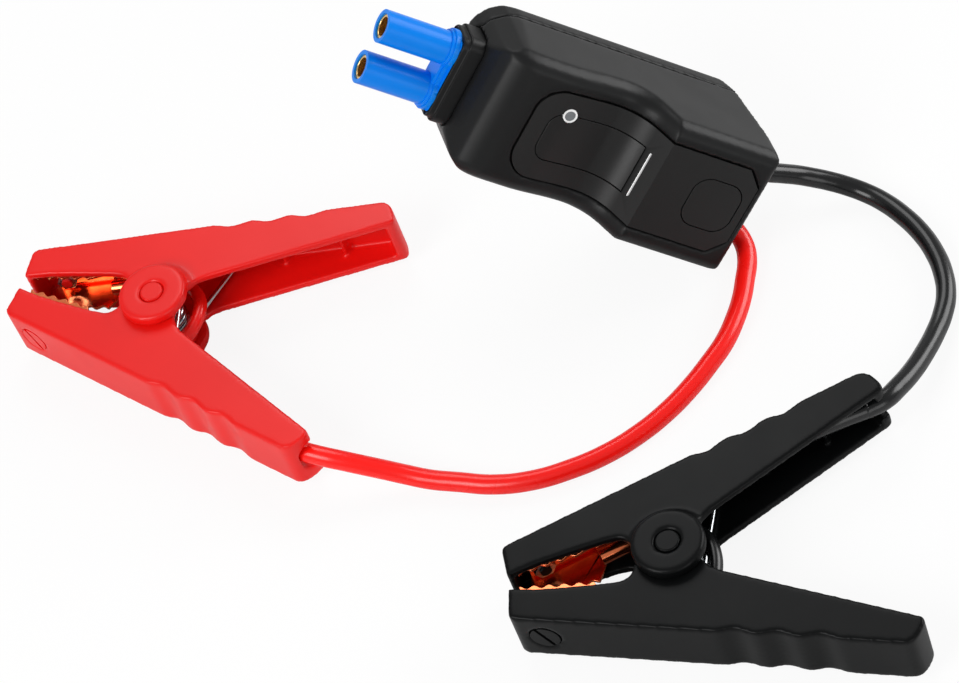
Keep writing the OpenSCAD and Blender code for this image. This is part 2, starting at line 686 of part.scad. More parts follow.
// Layer of the module's upper surface, from `depth` under it to `rise` above it
function skin_line(depth) =
    concat([[-5, front_deck - depth]], top_line(depth * 0.5, depth), [[case_len + 5, rear_deck - depth]]);
module top_skin(depth, rise) {
    translate([0, 30, 0]) rotate([90, 0, 0]) linear_extrude(60)
        polygon(concat(skin_line(depth), reversed(skin_line(-rise))));
}
module window_plan(grow) {
    r = 4 + grow;
    x0 = 19 - grow;
    x1 = bar_pos[0] - 1.1 + grow;
    h = window_half + grow;
    union() {
        translate([x0 + r, -h]) square([x1 - x0 - r, 2 * h]);
        translate([x0, -h + r]) square([r + 1, 2 * (h - r)]);
        for (s = [-1, 1]) translate([x0 + r, s * (h - r)]) circle(r = r);
    }
}
module rounded_square(side, r) {
    union() {
        square([side, side - 2 * r], center = true);
        square([side - 2 * r, side], center = true);
        for (sx = [-1, 1]) for (sy = [-1, 1]) translate([sx, sy] * (side / 2 - r)) circle(r = r);
    }
}
button_x = case_len - 12.1;
led_pos = [23.5, window_half + 0.2];
led_r = 1.35;
bezel_r = 1.9;
bezel_t = 0.9;
bar_x = 46;
bar_pos = [bar_x, dip_foot[1] + (bar_x - dip_foot[0]) * tan(dip_slope)];
bar_len = 13.2;
bar_w = 0.7;
led_top = dip_z(led_pos[0]);
// Lies on the dip's rear wall at the light bar: x up the wall, z out of it
module on_dip_wall() {
    translate([bar_pos[0], 0, bar_pos[1]]) rotate([0, -dip_slope, 0]) children();
}

// Slot for the light bar through the panel and the shell
module bar_slot() {
    on_dip_wall() translate([-bar_w / 2 - 0.1, -bar_len / 2 - 0.1, -5])
        cube([bar_w + 0.2, bar_len + 0.2, 8]);
}

module upper_shell() color(black_plastic) in_case() difference() {
    intersection() {
        case_form(0, 0);
        slab(parting_z + touch / 2, rear_deck + 1);
    }
    difference() {
        intersection() {
            case_form(case_wall, cavity_top);
            slab(0, rear_deck);
        }
        at_screws() translate([0, 0, parting_z + 0.1]) cylinder(r = boss_r, h = rear_deck);
        for (s = [-1, 1]) translate([post_x, s * 3.4, board_z + board_t + touch]) cylinder(r = 1.3, h = 12);
    }
    parting_groove();
    rounded_bar(-5, 3.2, collar_half[0] + 0.1, collar_half[1] + 0.1, 3.1);
    rounded_bar(-5, 12, body_half[0] + 0.15, body_half[1] + 0.15, 2);
    at_screws() translate([0, 0, 4]) cylinder(r = 1, h = 9);
    // seat of the trim panel, and the holes under it
    intersection() {
        top_skin(panel_t + touch, 3);
        linear_extrude(rear_deck + 4) panel_plan(panel_gap);
    }
    translate([button_x, 0, rear_deck - 8]) linear_extrude(12)
        rounded_square(button_side + 2 * panel_gap, button_corner + panel_gap);
    translate([led_pos[0], led_pos[1], dip_deck - 8]) cylinder(r = led_r + 0.1, h = 20);
    bar_slot();
    for (s = [-1, 1]) translate([base_len, s * exit_y, exit_z]) rotate([0, 90, 0])
        cylinder(r = grommet_r + 0.05, h = 30);
}

module trim_panel() color([0.1, 0.1, 0.11]) in_case() difference() {
    intersection() {
        top_skin(panel_t, 0);
        linear_extrude(rear_deck + 4) panel_plan(0);
    }
    intersection() {
        top_skin(window_t + touch, 3);
        linear_extrude(rear_deck + 4) window_plan(panel_gap);
    }
    translate([button_x, 0, rear_deck - 8]) linear_extrude(12)
        rounded_square(button_side + 2 * panel_gap, button_corner + panel_gap);
    translate([led_pos[0], led_pos[1], dip_deck - 8]) cylinder(r = bezel_r + 0.05, h = 20);
    bar_slot();
}

module panel_window() color([0.06, 0.06, 0.07]) in_case() difference() {
    intersection() {
        top_skin(window_t, 0);
        linear_extrude(rear_deck + 4) window_plan(0);
    }
    translate([led_pos[0], led_pos[1], dip_deck - 8]) cylinder(r = bezel_r + 0.3, h = 20);
}

module light_bar() color([0.95, 0.96, 1]) in_case() on_dip_wall()
    translate([-bar_w / 2, -bar_len / 2, -3.4]) cube([bar_w, bar_len, 3.5]);

module led_lens() color([0.75, 0.76, 0.78]) in_case()
    translate([led_pos[0], led_pos[1], led_top - 4]) cylinder(r = led_r, h = 4.2);
module led_bezel() color([0.8, 0.8, 0.82]) in_case()
    translate([led_pos[0], led_pos[1], led_top + 0.3 - bezel_t]) difference() {
        cylinder(r = bezel_r, h = bezel_t);
        translate([0, 0, -1]) cylinder(r = led_r + 0.05, h = 5);
    }

// ---------------------------------------------------------------- button and electronics

button_skirt_top = rear_deck - cavity_top - 0.2;
button_skirt_t = 1;
tab_reach = 0.9;
tab_width = 5;
stem_bottom = button_skirt_top - button_skirt_t - 0.6;
plunger_top = stem_bottom - button_travel - 0.05;
board_z = plunger_top - 4.6;
board_t = 1.2;
switch_board_x = button_x - 13.7;
switch_board_half = 5;
post_x = switch_board_x + 2.2;
module boost_button() color([0.1, 0.1, 0.11]) in_case() {
    translate([button_x, 0, button_skirt_top - 0.1])
        linear_extrude(rear_deck - button_skirt_top + 0.1) rounded_square(button_side, button_corner);
    // four tabs that hold the button under the deck
    translate([button_x, 0, button_skirt_top - button_skirt_t]) linear_extrude(button_skirt_t) {
        square([button_side + 2 * tab_reach, tab_width], center = true);
        square([tab_width, button_side + 2 * tab_reach], center = true);
    }
    translate([button_x, 0, stem_bottom]) cylinder(r = 2, h = 2);
}
module button_switch() color([0.15, 0.15, 0.16]) in_case() {
    translate([button_x - 3, -3, board_z + board_t + touch]) cube([6, 6, 2.4]);
    translate([button_x, 0, board_z + 2]) cylinder(r = 1.7, h = plunger_top - board_z - 2);
}
module switch_board() color([0.05, 0.3, 0.15]) in_case()
    translate([switch_board_x, -switch_board_half, board_z]) cube([18, 2 * switch_board_half, board_t]);

power_z = contact_z + 1.5;
power_t = 1.6;
power_x0 = 15.6;
power_x1 = base_len - 4.5;
power_half = base_half - 4.6;
module power_board() color([0.05, 0.3, 0.15]) in_case() difference() {
    translate([power_x0, -power_half, power_z]) cube([power_x1 - power_x0, 2 * power_half, power_t]);
    for (s = [-1, 1]) translate([screw_x[1], s * screw_y, 0]) cylinder(r = boss_r + 0.3, h = 30);
}
relay_size = [12, 10, 4];
module power_relay() color([0.1, 0.12, 0.2]) in_case()
    translate([power_x1 - relay_size[0] - 2.4, -relay_size[1] / 2, power_z + power_t + touch])
    difference() {
        cube(relay_size);
        translate([1, 1, relay_size[2] - 0.4]) cube([relay_size[0] - 2, relay_size[1] - 2, 1]);
    }
can_r = 3.1;
can_len = 7;
module capacitors() color([0.2, 0.25, 0.3]) in_case()
    for (s = [-1, 1]) translate([power_x0 + 10.4, s * 6, power_z - touch]) rotate([180, 0, 0]) {
        cylinder(r = can_r, h = can_len);
        cylinder(r = can_r + 0.2, h = 0.6);
    }

// Blue connector moulding: two tubes, a stepped and waisted flange, and the body inside the collar
lip_out = 1.7;
step_t = 0.8;
flange_r = 5.3;
flange_waist = 3.9;
module flange_plan(grow) {
    for (s = [-1, 1]) translate([s * (flange_half - flange_r), 0]) circle(r = flange_r + grow);
    square([2 * (flange_half - flange_r), 2 * (flange_waist + grow)], center = true);
}
flange_x = -collar_out - lip_out - flange_t;
module connector_body() color([0.02, 0.25, 0.85]) in_case() difference() {
    union() {
        for (s = [-1, 1]) translate([flange_x - tube_len, s * contact_pitch / 2, contact_z])
            rotate([0, 90, 0]) cylinder(r = tube_r, h = tube_len + 1);
        translate([flange_x, 0, contact_z]) rotate([90, 0, 90]) {
            translate([0, 0, step_t]) linear_extrude(flange_t - step_t - touch) flange_plan(0);
            linear_extrude(step_t) flange_plan(-0.5);
        }
        rounded_bar(-collar_out - lip_out - 0.1, 11.5, body_half[0], body_half[1], 1.9);
    }
    for (s = [-1, 1]) translate([-beyond, s * contact_pitch / 2, contact_z])
        rotate([0, 90, 0]) cylinder(r = contact_r + 0.03, h = 2 * beyond);
}
contact_mouth = flange_x - tube_len + 0.4;
contact_end = 14.8;
module contact_sockets() color([0.85, 0.6, 0.2]) in_case()
    for (s = [-1, 1]) translate([contact_mouth, s * contact_pitch / 2, contact_z]) rotate([0, 90, 0])
    difference() {
        cylinder(r = contact_r, h = contact_end - contact_mouth);
        translate([0, 0, -1]) cylinder(r = contact_bore_r, h = contact_depth + 1);
    }
// Copper straps from the contacts up to the power board
strap_w = 5;
strap_t = 0.8;
module contact_straps() color([0.8, 0.45, 0.25]) in_case()
    for (s = [-1, 1]) translate([contact_end + touch, s * contact_pitch / 2 - strap_w / 2, 0]) {
        translate([0, 0, contact_z - 3]) cube([strap_t, strap_w, power_z - contact_z + 3 - touch]);
        translate([0, 0, power_z - strap_t - touch]) cube([6, strap_w, strap_t]);
    }
module connector_collar() color([0.09, 0.09, 0.1]) in_case() difference() {
    union() {
        rounded_bar(-collar_out, 3.1, collar_half[0], collar_half[1], 3);
        rounded_bar(-collar_out - lip_out, -collar_out + 0.1, lip_half[0], lip_half[1], 2.8);
    }
    rounded_bar(-collar_out - 5, 5, body_half[0] + 0.05, body_half[1] + 0.05, 1.95);
}
module case_screws() color([0.6, 0.6, 0.62]) in_case()
    at_screws() difference() {
        union() {
            translate([0, 0, 0.2]) cylinder(r = 2.3, h = 1.18);
            cylinder(r = 0.98, h = 11.5);
        }
        translate([-0.3, -1.6, -1]) cube([0.6, 3.2, 1.8]);
        translate([-1.6, -0.3, -1]) cube([3.2, 0.6, 1.8]);
    }

// ---------------------------------------------------------------- grommets and leads

module grommet(side) {
    translate([exit_x - grommet_len, side * exit_y, exit_z]) rotate([0, 90, 0]) difference() {
        cylinder(r = grommet_r, h = grommet_len);
        translate([0, 0, -1]) cylinder(r = lead_r + 0.05, h = grommet_len + 2);
    }
}
module lead_tail(side) {
    swept_tube([
        [exit_x, side * exit_y, exit_z], [exit_x - 4.5, side * exit_y, exit_z],
        [exit_x - 8, side * exit_y, exit_z - 1.6], [exit_x - 10.5, side * exit_y, exit_z - 4.6],
        [exit_x - 13, side * exit_y, exit_z - 7.8], [exit_x - 16.5, side * exit_y, exit_z - 9.4],
        [exit_x - 20.5, side * exit_y, exit_z - 9.5]
    ], lead_r, 10, [-1, 0, 0], [-1, 0, 0]);
}
// Directions in which the leads leave the module and enter the handles
function turned(v) =
    let (a = case_turn[0], b = case_turn[1], c = case_turn[2],
         p = [v[0], v[1] * cos(a) - v[2] * sin(a), v[1] * sin(a) + v[2] * cos(a)],
         q = [p[0] * cos(b) + p[2] * sin(b), p[1], -p[0] * sin(b) + p[2] * cos(b)])
    [q[0] * cos(c) - q[1] * sin(c), q[0] * sin(c) + q[1] * cos(c), q[2]];
exit_dir = turned([1, 0, 0]);
black_entry = black_yaw + face_tilt + 180;
red_entry = red_yaw - face_tilt + 180;

module red_grommet() color([0.12, 0.12, 0.12]) in_case() grommet(-1);
module black_grommet() color([0.12, 0.12, 0.12]) in_case() grommet(1);
module red_lead_tail() color(red_plastic) in_case() lead_tail(-1);
module black_lead_tail() color(black_plastic) in_case() lead_tail(1);
module red_lead() color(red_plastic)
    swept_tube(red_route, lead_r, 10, exit_dir, [cos(red_entry), sin(red_entry), 0]);
module black_lead() color(black_plastic)
    swept_tube(black_route, lead_r, 10, exit_dir, [cos(black_entry), sin(black_entry), 0]);

// ---------------------------------------------------------------- nodes of the two clamps

copper = [0.85, 0.42, 0.25];
steel = [0.75, 0.76, 0.78];
module red_cabled_handle() color(red_plastic) in_red_clamp() handle_moulding(true);
module red_squeeze_handle() color(red_plastic) in_red_clamp() squeeze_side() handle_moulding(false);
module red_cabled_jaw() color(copper) in_red_clamp() jaw();
module red_squeeze_jaw() color(copper) in_red_clamp() squeeze_side() jaw();
module red_cabled_jaw_screw() color(red_plastic) in_red_clamp() jaw_screw();
module red_squeeze_jaw_screw() color(red_plastic) in_red_clamp() squeeze_side() jaw_screw();
module red_cabled_jaw_nut() color(steel) in_red_clamp() jaw_nut();
module red_squeeze_jaw_nut() color(steel) in_red_clamp() squeeze_side() jaw_nut();
module red_cabled_lug() color(copper) in_red_clamp() lug(true);
module red_squeeze_lug() color(copper) in_red_clamp() squeeze_side() lug(false);
module red_pivot_pin() color(red_plastic) in_red_clamp() pivot_pin();
module red_spring_sleeve() color(steel) in_red_clamp() spring_sleeve();
module red_torsion_spring() color(steel) in_red_clamp() torsion_spring();
module red_bridge_wire() color(red_plastic) in_red_clamp() bridge_wire();
module red_handle_lead() color(red_plastic) in_red_clamp() handle_lead();
module black_cabled_handle() color(black_plastic) in_black_clamp() handle_moulding(true);
module black_squeeze_handle() color(black_plastic) in_black_clamp() squeeze_side() handle_moulding(false);
module black_cabled_jaw() color(copper) in_black_clamp() jaw();
module black_squeeze_jaw() color(copper) in_black_clamp() squeeze_side() jaw();
module black_cabled_jaw_screw() color(black_plastic) in_black_clamp() jaw_screw();
module black_squeeze_jaw_screw() color(black_plastic) in_black_clamp() squeeze_side() jaw_screw();
module black_cabled_jaw_nut() color(steel) in_black_clamp() jaw_nut();
module black_squeeze_jaw_nut() color(steel) in_black_clamp() squeeze_side() jaw_nut();
module black_cabled_lug() color(copper) in_black_clamp() lug(true);
module black_squeeze_lug() color(copper) in_black_clamp() squeeze_side() lug(false);
module black_pivot_pin() color(black_plastic) in_black_clamp() pivot_pin();
module black_spring_sleeve() color(steel) in_black_clamp() spring_sleeve();
module black_torsion_spring() color(steel) in_black_clamp() torsion_spring();
module black_bridge_wire() color(black_plastic) in_black_clamp() bridge_wire();
module black_handle_lead() color(black_plastic) in_black_clamp() handle_lead();

lower_shell();
upper_shell();
trim_panel();
panel_window();
light_bar();
led_lens();
led_bezel();
boost_button();
button_switch();
switch_board();
power_board();
power_relay();
capacitors();
connector_body();
contact_sockets();
contact_straps();
connector_collar();
case_screws();
red_grommet();
black_grommet();
red_lead_tail();
black_lead_tail();
red_lead();
black_lead();
red_cabled_handle();
red_squeeze_handle();
red_cabled_jaw();
red_squeeze_jaw();
red_cabled_jaw_screw();
red_squeeze_jaw_screw();
red_cabled_jaw_nut();
red_squeeze_jaw_nut();
red_cabled_lug();
red_squeeze_lug();
red_pivot_pin();
red_spring_sleeve();
red_torsion_spring();
red_bridge_wire();
red_handle_lead();
black_cabled_handle();
black_squeeze_handle();
black_cabled_jaw();
black_squeeze_jaw();
black_cabled_jaw_screw();
black_squeeze_jaw_screw();
black_cabled_jaw_nut();
black_squeeze_jaw_nut();
black_cabled_lug();
black_squeeze_lug();
black_pivot_pin();
black_spring_sleeve();
black_torsion_spring();
black_bridge_wire();
black_handle_lead();
echo(spring_gap = spring_gap);
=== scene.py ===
"""Looks of a smart jumper lead: a control module, two silicone leads and two spring clamps.

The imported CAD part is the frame. Each class below dresses one sub-assembly of it: moulded pieces get
soft edges, the leads get their smooth round form, and every surface gets the finish of its real material.
"""

from __future__ import annotations

import json
import logging
import math
from dataclasses import dataclass, field
from enum import Enum

import bmesh
import bpy
from mathutils import Euler, Matrix, Vector

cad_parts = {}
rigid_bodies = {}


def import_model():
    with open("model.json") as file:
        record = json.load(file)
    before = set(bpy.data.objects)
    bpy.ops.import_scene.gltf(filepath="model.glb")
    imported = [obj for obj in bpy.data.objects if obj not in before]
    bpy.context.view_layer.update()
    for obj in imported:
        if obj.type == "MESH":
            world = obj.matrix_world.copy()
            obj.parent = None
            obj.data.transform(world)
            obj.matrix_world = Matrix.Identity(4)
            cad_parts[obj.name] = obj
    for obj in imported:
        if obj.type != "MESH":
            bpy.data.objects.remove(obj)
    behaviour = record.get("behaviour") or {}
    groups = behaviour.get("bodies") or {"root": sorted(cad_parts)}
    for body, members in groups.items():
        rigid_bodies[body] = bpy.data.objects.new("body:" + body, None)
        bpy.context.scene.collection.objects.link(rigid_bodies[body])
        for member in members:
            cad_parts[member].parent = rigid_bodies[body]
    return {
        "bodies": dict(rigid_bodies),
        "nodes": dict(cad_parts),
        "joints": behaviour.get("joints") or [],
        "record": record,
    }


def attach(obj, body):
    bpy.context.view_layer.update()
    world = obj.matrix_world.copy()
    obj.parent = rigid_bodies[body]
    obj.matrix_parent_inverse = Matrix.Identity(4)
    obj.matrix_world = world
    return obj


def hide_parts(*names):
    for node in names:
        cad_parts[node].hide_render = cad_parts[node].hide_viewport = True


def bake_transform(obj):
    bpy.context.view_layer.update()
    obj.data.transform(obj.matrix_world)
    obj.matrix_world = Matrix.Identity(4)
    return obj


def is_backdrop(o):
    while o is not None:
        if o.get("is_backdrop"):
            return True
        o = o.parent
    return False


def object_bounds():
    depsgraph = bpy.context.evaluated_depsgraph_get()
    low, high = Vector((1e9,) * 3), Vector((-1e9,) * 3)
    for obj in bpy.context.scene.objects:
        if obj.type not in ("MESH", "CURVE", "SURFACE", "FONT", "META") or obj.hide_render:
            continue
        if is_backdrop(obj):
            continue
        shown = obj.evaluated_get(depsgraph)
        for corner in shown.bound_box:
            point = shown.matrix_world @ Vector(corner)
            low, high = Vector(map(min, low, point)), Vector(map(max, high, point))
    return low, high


LOG = logging.getLogger("jumper_lead")

# Metres in a millimetre.
MM = 0.001
LEAD_RADIUS_MM = 2.6
# In a merged copy of a CAD node, corners nearer than this become one.
MERGE_MM = 0.004
# In such a copy, faces that meet at less than this angle become one.
FLAT_DEG = 1.0
# Edges that turn by more than this are rounded.
SHARP_DEG = 32.0
# A rounding this wide or wider takes three steps, and a narrower one two.
WIDE_EDGE_MM = 0.3
# Above 50, large faces rule the shading beside a rounding.
SHADING_WEIGHT = 80
# A turn in which no edge of the part runs along the voxels.
ASKEW = Euler((0.55, 0.42, 0.67))
# A direction in which no tube starts.
START_SIDE = Vector((0.13, 0.21, 0.97))


# ---------------------------------------------------------------- small tools


def linear(hex_colour: str) -> tuple[float, float, float, float]:
    """Turns an sRGB hex colour into linear RGBA.

    Args:
        hex_colour: six hex digits after a hash, such as "#d02018".

    Returns:
        Linear red, green and blue, and an alpha of 1.
    """
    values = [int(hex_colour[i : i + 2], 16) / 255 for i in (1, 3, 5)]
    turned = [v / 12.92 if v <= 0.04045 else ((v + 0.055) / 1.055) ** 2.4 for v in values]
    return (turned[0], turned[1], turned[2], 1.0)


def add_node(
    tree: bpy.types.NodeTree, kind: str, settings: dict | None = None, links: dict | None = None
) -> bpy.types.Node:
    """Adds one shader node with its settings and its incoming links.

    Args:
        tree: the material's node tree.
        kind: the node's type name, such as "ShaderNodeTexNoise".
        settings: attribute names and values, and socket names or numbers and default values.
        links: socket names or numbers, and the output sockets that feed them.

    Returns:
        The new node.
    """
    node = tree.nodes.new(kind)
    for name, value in (settings or {}).items():
        if isinstance(name, int) or name in node.inputs:
            node.inputs[name].default_value = value
        else:
            setattr(node, name, value)
    for name, output in (links or {}).items():
        tree.links.new(output, node.inputs[name])
    return node


def new_material(name: str) -> tuple[bpy.types.Material, bpy.types.NodeTree]:
    """Makes an empty node material.

    Args:
        name: the material's name.

    Returns:
        The material and its empty node tree.
    """
    made = bpy.data.materials.new(name)
    made.use_nodes = True
    made.node_tree.nodes.clear()
    return made, made.node_tree


def per_mm(size_mm: float) -> float:
    """Scale of a noise texture whose features are size_mm across."""
    return 1.0 / (size_mm * MM)


def seen_directly(tree: bpy.types.NodeTree, rays: bpy.types.Node) -> bpy.types.NodeSocket:
    """Adds a switch that is 1 where the backdrop itself is seen, also through clear pieces.

    Args:
        tree: the backdrop's node tree.
        rays: its Light Path node.

    Returns:
        The output socket with the switch.
    """
    seen = add_node(
        tree,
        "ShaderNodeMath",
        {"operation": "ADD", "use_clamp": True},
        {0: rays.outputs["Is Camera Ray"], 1: rays.outputs["Is Transmission Ray"]},
    )
    return seen.outputs[0]


def smooth_line(knots_mm: list[Vector], steps: int = 8) -> list[Vector]:
    """Draws a smooth line through knots.

    Args:
        knots_mm: the knots, in millimetres.
        steps: points from one knot to the next.

    Returns:
        Points of a centripetal Catmull-Rom line, in millimetres.
    """
    knots = [2 * knots_mm[0] - knots_mm[1], *knots_mm, 2 * knots_mm[-1] - knots_mm[-2]]
    line: list[Vector] = []
    for a, b, c, d in zip(knots, knots[1:], knots[2:], knots[3:]):
        ta = 0.0
        tb = ta + math.sqrt((b - a).length)
        tc = tb + math.sqrt((c - b).length)
        td = tc + math.sqrt((d - c).length)
        for i in range(steps):
            t = tb + (tc - tb) * i / steps
            p = a * ((tb - t) / (tb - ta)) + b * ((t - ta) / (tb - ta))
            q = b * ((tc - t) / (tc - tb)) + c * ((t - tb) / (tc - tb))
            r = c * ((td - t) / (td - tc)) + d * ((t - tc) / (td - tc))
            pq = p * ((tc - t) / (tc - ta)) + q * ((t - ta) / (tc - ta))
            qr = q * ((td - t) / (td - tb)) + r * ((t - tb) / (td - tb))
            line.append(pq * ((tc - t) / (tc - tb)) + qr * ((t - tb) / (tc - tb)))
    line.append(knots[-2])
    return line


def tube_mesh(name: str, line_mm: list[Vector], radius_mm: float, sides: int = 24) -> bpy.types.Mesh:
    """Makes a closed round tube along a line, from circles that are bridged one to the next.

    Args:
        name: the mesh's name.
        line_mm: the line, in millimetres of the row frame.
        radius_mm: the tube's radius.
        sides: sides of the tube.

    Returns:
        The mesh, in metres, smooth along its wall.
    """
    shape = bmesh.new()
    last = len(line_mm) - 1
    side = START_SIDE
    rims = []
    for i, point in enumerate(line_mm):
        along = (line_mm[min(i + 1, last)] - line_mm[max(i - 1, 0)]).normalized()
        side = (side - side.dot(along) * along).normalized()
        turned = Matrix((side, along.cross(side), along)).transposed().to_4x4()
        circle = bmesh.ops.create_circle(
            shape,
            cap_ends=i in (0, last),
            segments=sides,
            radius=radius_mm * MM,
            matrix=Matrix.Translation(point * MM) @ turned,
        )
        rims.append(list(dict.fromkeys(edge for vert in circle["verts"] for edge in vert.link_edges)))
    for rim, following in zip(rims, rims[1:]):
        for face in bmesh.ops.bridge_loops(shape, edges=rim + following)["faces"]:
            face.smooth = True
    bmesh.ops.recalc_face_normals(shape, faces=shape.faces)
    mesh = bpy.data.meshes.new(name)
    shape.to_mesh(mesh)
    shape.free()
    return mesh


# ---------------------------------------------------------------- finishes


@dataclass(frozen=True)
class MouldedPlastic:
    """Injection-moulded plastic: even colour, a fine spark-eroded grain and a soft sheen.

    The grain of a real mould is about 0.1 mm wide. That is too fine to show, so it is drawn three to six
    times as wide. The clouds are where the plastic flowed: its colour and sheen change a little with them.
    """

    name: str
    colour: str
    shade: str
    roughness: float = 0.36
    roughness_spread: float = 0.05
    grain_mm: float = 0.35
    grain_depth_mm: float = 0.004
    grain_strength: float = 0.5
    cloud_mm: float = 14.0
    specular: float = 0.5

    def material(self) -> bpy.types.Material:
        """Builds the material with its grain, its faint colour clouds and its uneven sheen.

        Returns:
            The material.
        """
        made, tree = new_material(self.name)
        place = add_node(tree, "ShaderNodeTexCoord").outputs["Object"]
        clouds = add_node(
            tree, "ShaderNodeTexNoise", {"Scale": per_mm(self.cloud_mm), "Detail": 3.0}, {"Vector": place}
        )
        grain = add_node(
            tree, "ShaderNodeTexNoise", {"Scale": per_mm(self.grain_mm), "Detail": 4.0}, {"Vector": place}
        )
        tint = add_node(
            tree,
            "ShaderNodeMix",
            {"data_type": "RGBA", 6: linear(self.colour), 7: linear(self.shade)},
            {0: clouds.outputs[0]},
        )
        sheen = add_node(
            tree,
            "ShaderNodeMapRange",
            {3: self.roughness - self.roughness_spread, 4: self.roughness + self.roughness_spread},
            {0: clouds.outputs[0]},
        )
        bump = add_node(
            tree,
            "ShaderNodeBump",
            {"Strength": self.grain_strength, "Distance": self.grain_depth_mm * MM},
            {"Height": grain.outputs[0]},
        )
        shader = add_node(
            tree,
            "ShaderNodeBsdfPrincipled",
            {"Specular IOR Level": self.specular},
            {"Base Color": tint.outputs[2], "Roughness": sheen.outputs[0], "Normal": bump.outputs[0]},
        )
        add_node(tree, "ShaderNodeOutputMaterial", None, {"Surface": shader.outputs[0]})
        return made


@dataclass(frozen=True)
class SiliconeRubber:
    """Extruded silicone insulation: a glossy skin with shallow waves, a little duller where dust clings."""

    name: str
    colour: str
    shade: str
    clean_roughness: float = 0.2
    dusty_roughness: float = 0.32
    ripple_mm: float = 5.0
    ripple_depth_mm: float = 0.008
    ripple_strength: float = 0.3
    ior: float = 1.43
    specular: float = 0.4
    gloss: float = 0.15
    gloss_roughness: float = 0.15

    def material(self) -> bpy.types.Material:
        """Builds the material with its shallow waves and dusty roughness.

        Returns:
            The material.
        """
        made, tree = new_material(self.name)
        place = add_node(tree, "ShaderNodeTexCoord").outputs["Object"]
        waves = add_node(
            tree, "ShaderNodeTexNoise", {"Scale": per_mm(self.ripple_mm), "Detail": 2.0}, {"Vector": place}
        )
        tint = add_node(
            tree,
            "ShaderNodeMix",
            {"data_type": "RGBA", 6: linear(self.colour), 7: linear(self.shade)},
            {0: waves.outputs[0]},
        )
        dust = add_node(
            tree,
            "ShaderNodeMapRange",
            {3: self.clean_roughness, 4: self.dusty_roughness},
            {0: waves.outputs[0]},
        )
        bump = add_node(
            tree,
            "ShaderNodeBump",
            {"Strength": self.ripple_strength, "Distance": self.ripple_depth_mm * MM},
            {"Height": waves.outputs[0]},
        )
        shader = add_node(
            tree,
            "ShaderNodeBsdfPrincipled",
            {
                "IOR": self.ior,
                "Specular IOR Level": self.specular,
                "Coat Weight": self.gloss,
                "Coat Roughness": self.gloss_roughness,
            },
            {"Base Color": tint.outputs[2], "Roughness": dust.outputs[0], "Normal": bump.outputs[0]},
        )
        add_node(tree, "ShaderNodeOutputMaterial", None, {"Surface": shader.outputs[0]})
        return made


@dataclass(frozen=True)
class PlatedMetal:
    """Plated or bare metal: a fine stamped grain, and darker tarnish in slow clouds.

    The grain of real plate is well under 0.1 mm. That is too fine to show, so it is drawn at 0.5 mm or more.
    The roughness goes from its polished share to its worn share.
    """

    name: str
    colour: str
    tarnish: str
    roughness: float = 0.22
    polished: float = 0.7
    worn: float = 1.4
    grain_mm: float = 0.5
    grain_depth_mm: float = 0.004
    grain_strength: float = 0.5
    cloud_mm: float = 5.0

    def material(self) -> bpy.types.Material:
        """Builds the material with its grain and its tarnish.

        Returns:
            The material.
        """
        made, tree = new_material(self.name)
        place = add_node(tree, "ShaderNodeTexCoord").outputs["Object"]
        clouds = add_node(
            tree, "ShaderNodeTexNoise", {"Scale": per_mm(self.cloud_mm), "Detail": 4.0}, {"Vector": place}
        )
        grain = add_node(
            tree, "ShaderNodeTexNoise", {"Scale": per_mm(self.grain_mm), "Detail": 3.0}, {"Vector": place}
        )
        tint = add_node(
            tree,
            "ShaderNodeMix",
            {"data_type": "RGBA", 6: linear(self.colour), 7: linear(self.tarnish)},
            {0: clouds.outputs[0]},
        )
        wear = add_node(
            tree,
            "ShaderNodeMapRange",
            {3: self.roughness * self.polished, 4: self.roughness * self.worn},
            {0: grain.outputs[0]},
        )
        bump = add_node(
            tree,
            "ShaderNodeBump",
            {"Strength": self.grain_strength, "Distance": self.grain_depth_mm * MM},
            {"Height": grain.outputs[0]},
        )
        shader = add_node(
            tree,
            "ShaderNodeBsdfPrincipled",
            {"Metallic": 1.0},
            {"Base Color": tint.outputs[2], "Roughness": wear.outputs[0], "Normal": bump.outputs[0]},
        )
        add_node(tree, "ShaderNodeOutputMaterial", None, {"Surface": shader.outputs[0]})
        return made


@dataclass(frozen=True)
class LightPipe:
    """Acrylic light pipe over a diode: a milky body, with a painted glow of its own where it looks lit; no
    lamp lights it.
    """

    name: str
    colour: str
    haze: str = "#ffffff"
    haze_mm: float = 1.2
    glow: float = 0.0
    roughness: float = 0.3

    def material(self) -> bpy.types.Material:
        """Builds the material with a milky body and its painted glow.

        Returns:
            The material.
        """
        made, tree = new_material(self.name)
        place = add_node(tree, "ShaderNodeTexCoord").outputs["Object"]
        haze = add_node(
            tree, "ShaderNodeTexNoise", {"Scale": per_mm(self.haze_mm), "Detail": 2.0}, {"Vector": place}
        )
        tint = add_node(
            tree,
            "ShaderNodeMix",
            {"data_type": "RGBA", 6: linear(self.colour), 7: linear(self.haze)},
            {0: haze.outputs[0]},
        )
        shader = add_node(
            tree,
            "ShaderNodeBsdfPrincipled",
            {
                "Roughness": self.roughness,
                # The emission is a painted glow: the piece gives light of its own, though no lamp lights it.
                "Emission Color": linear(self.colour),
                "Emission Strength": self.glow,
            },
            {"Base Color": tint.outputs[2]},
        )
        add_node(tree, "ShaderNodeOutputMaterial", None, {"Surface": shader.outputs[0]})
        return made


Finish = MouldedPlastic | SiliconeRubber | PlatedMetal | LightPipe

# Moulded ABS of the red handles: an even, bright red with a broad soft sheen.
RED_ABS = MouldedPlastic("red_abs_moulded", "#ec130e", "#e40f0b", roughness=0.36, specular=0.36)
# Moulded ABS of the black handles: near black, with faint highlights only.
BLACK_ABS = MouldedPlastic("black_abs_moulded", "#0a0b0b", "#08090a", roughness=0.34, specular=0.11)
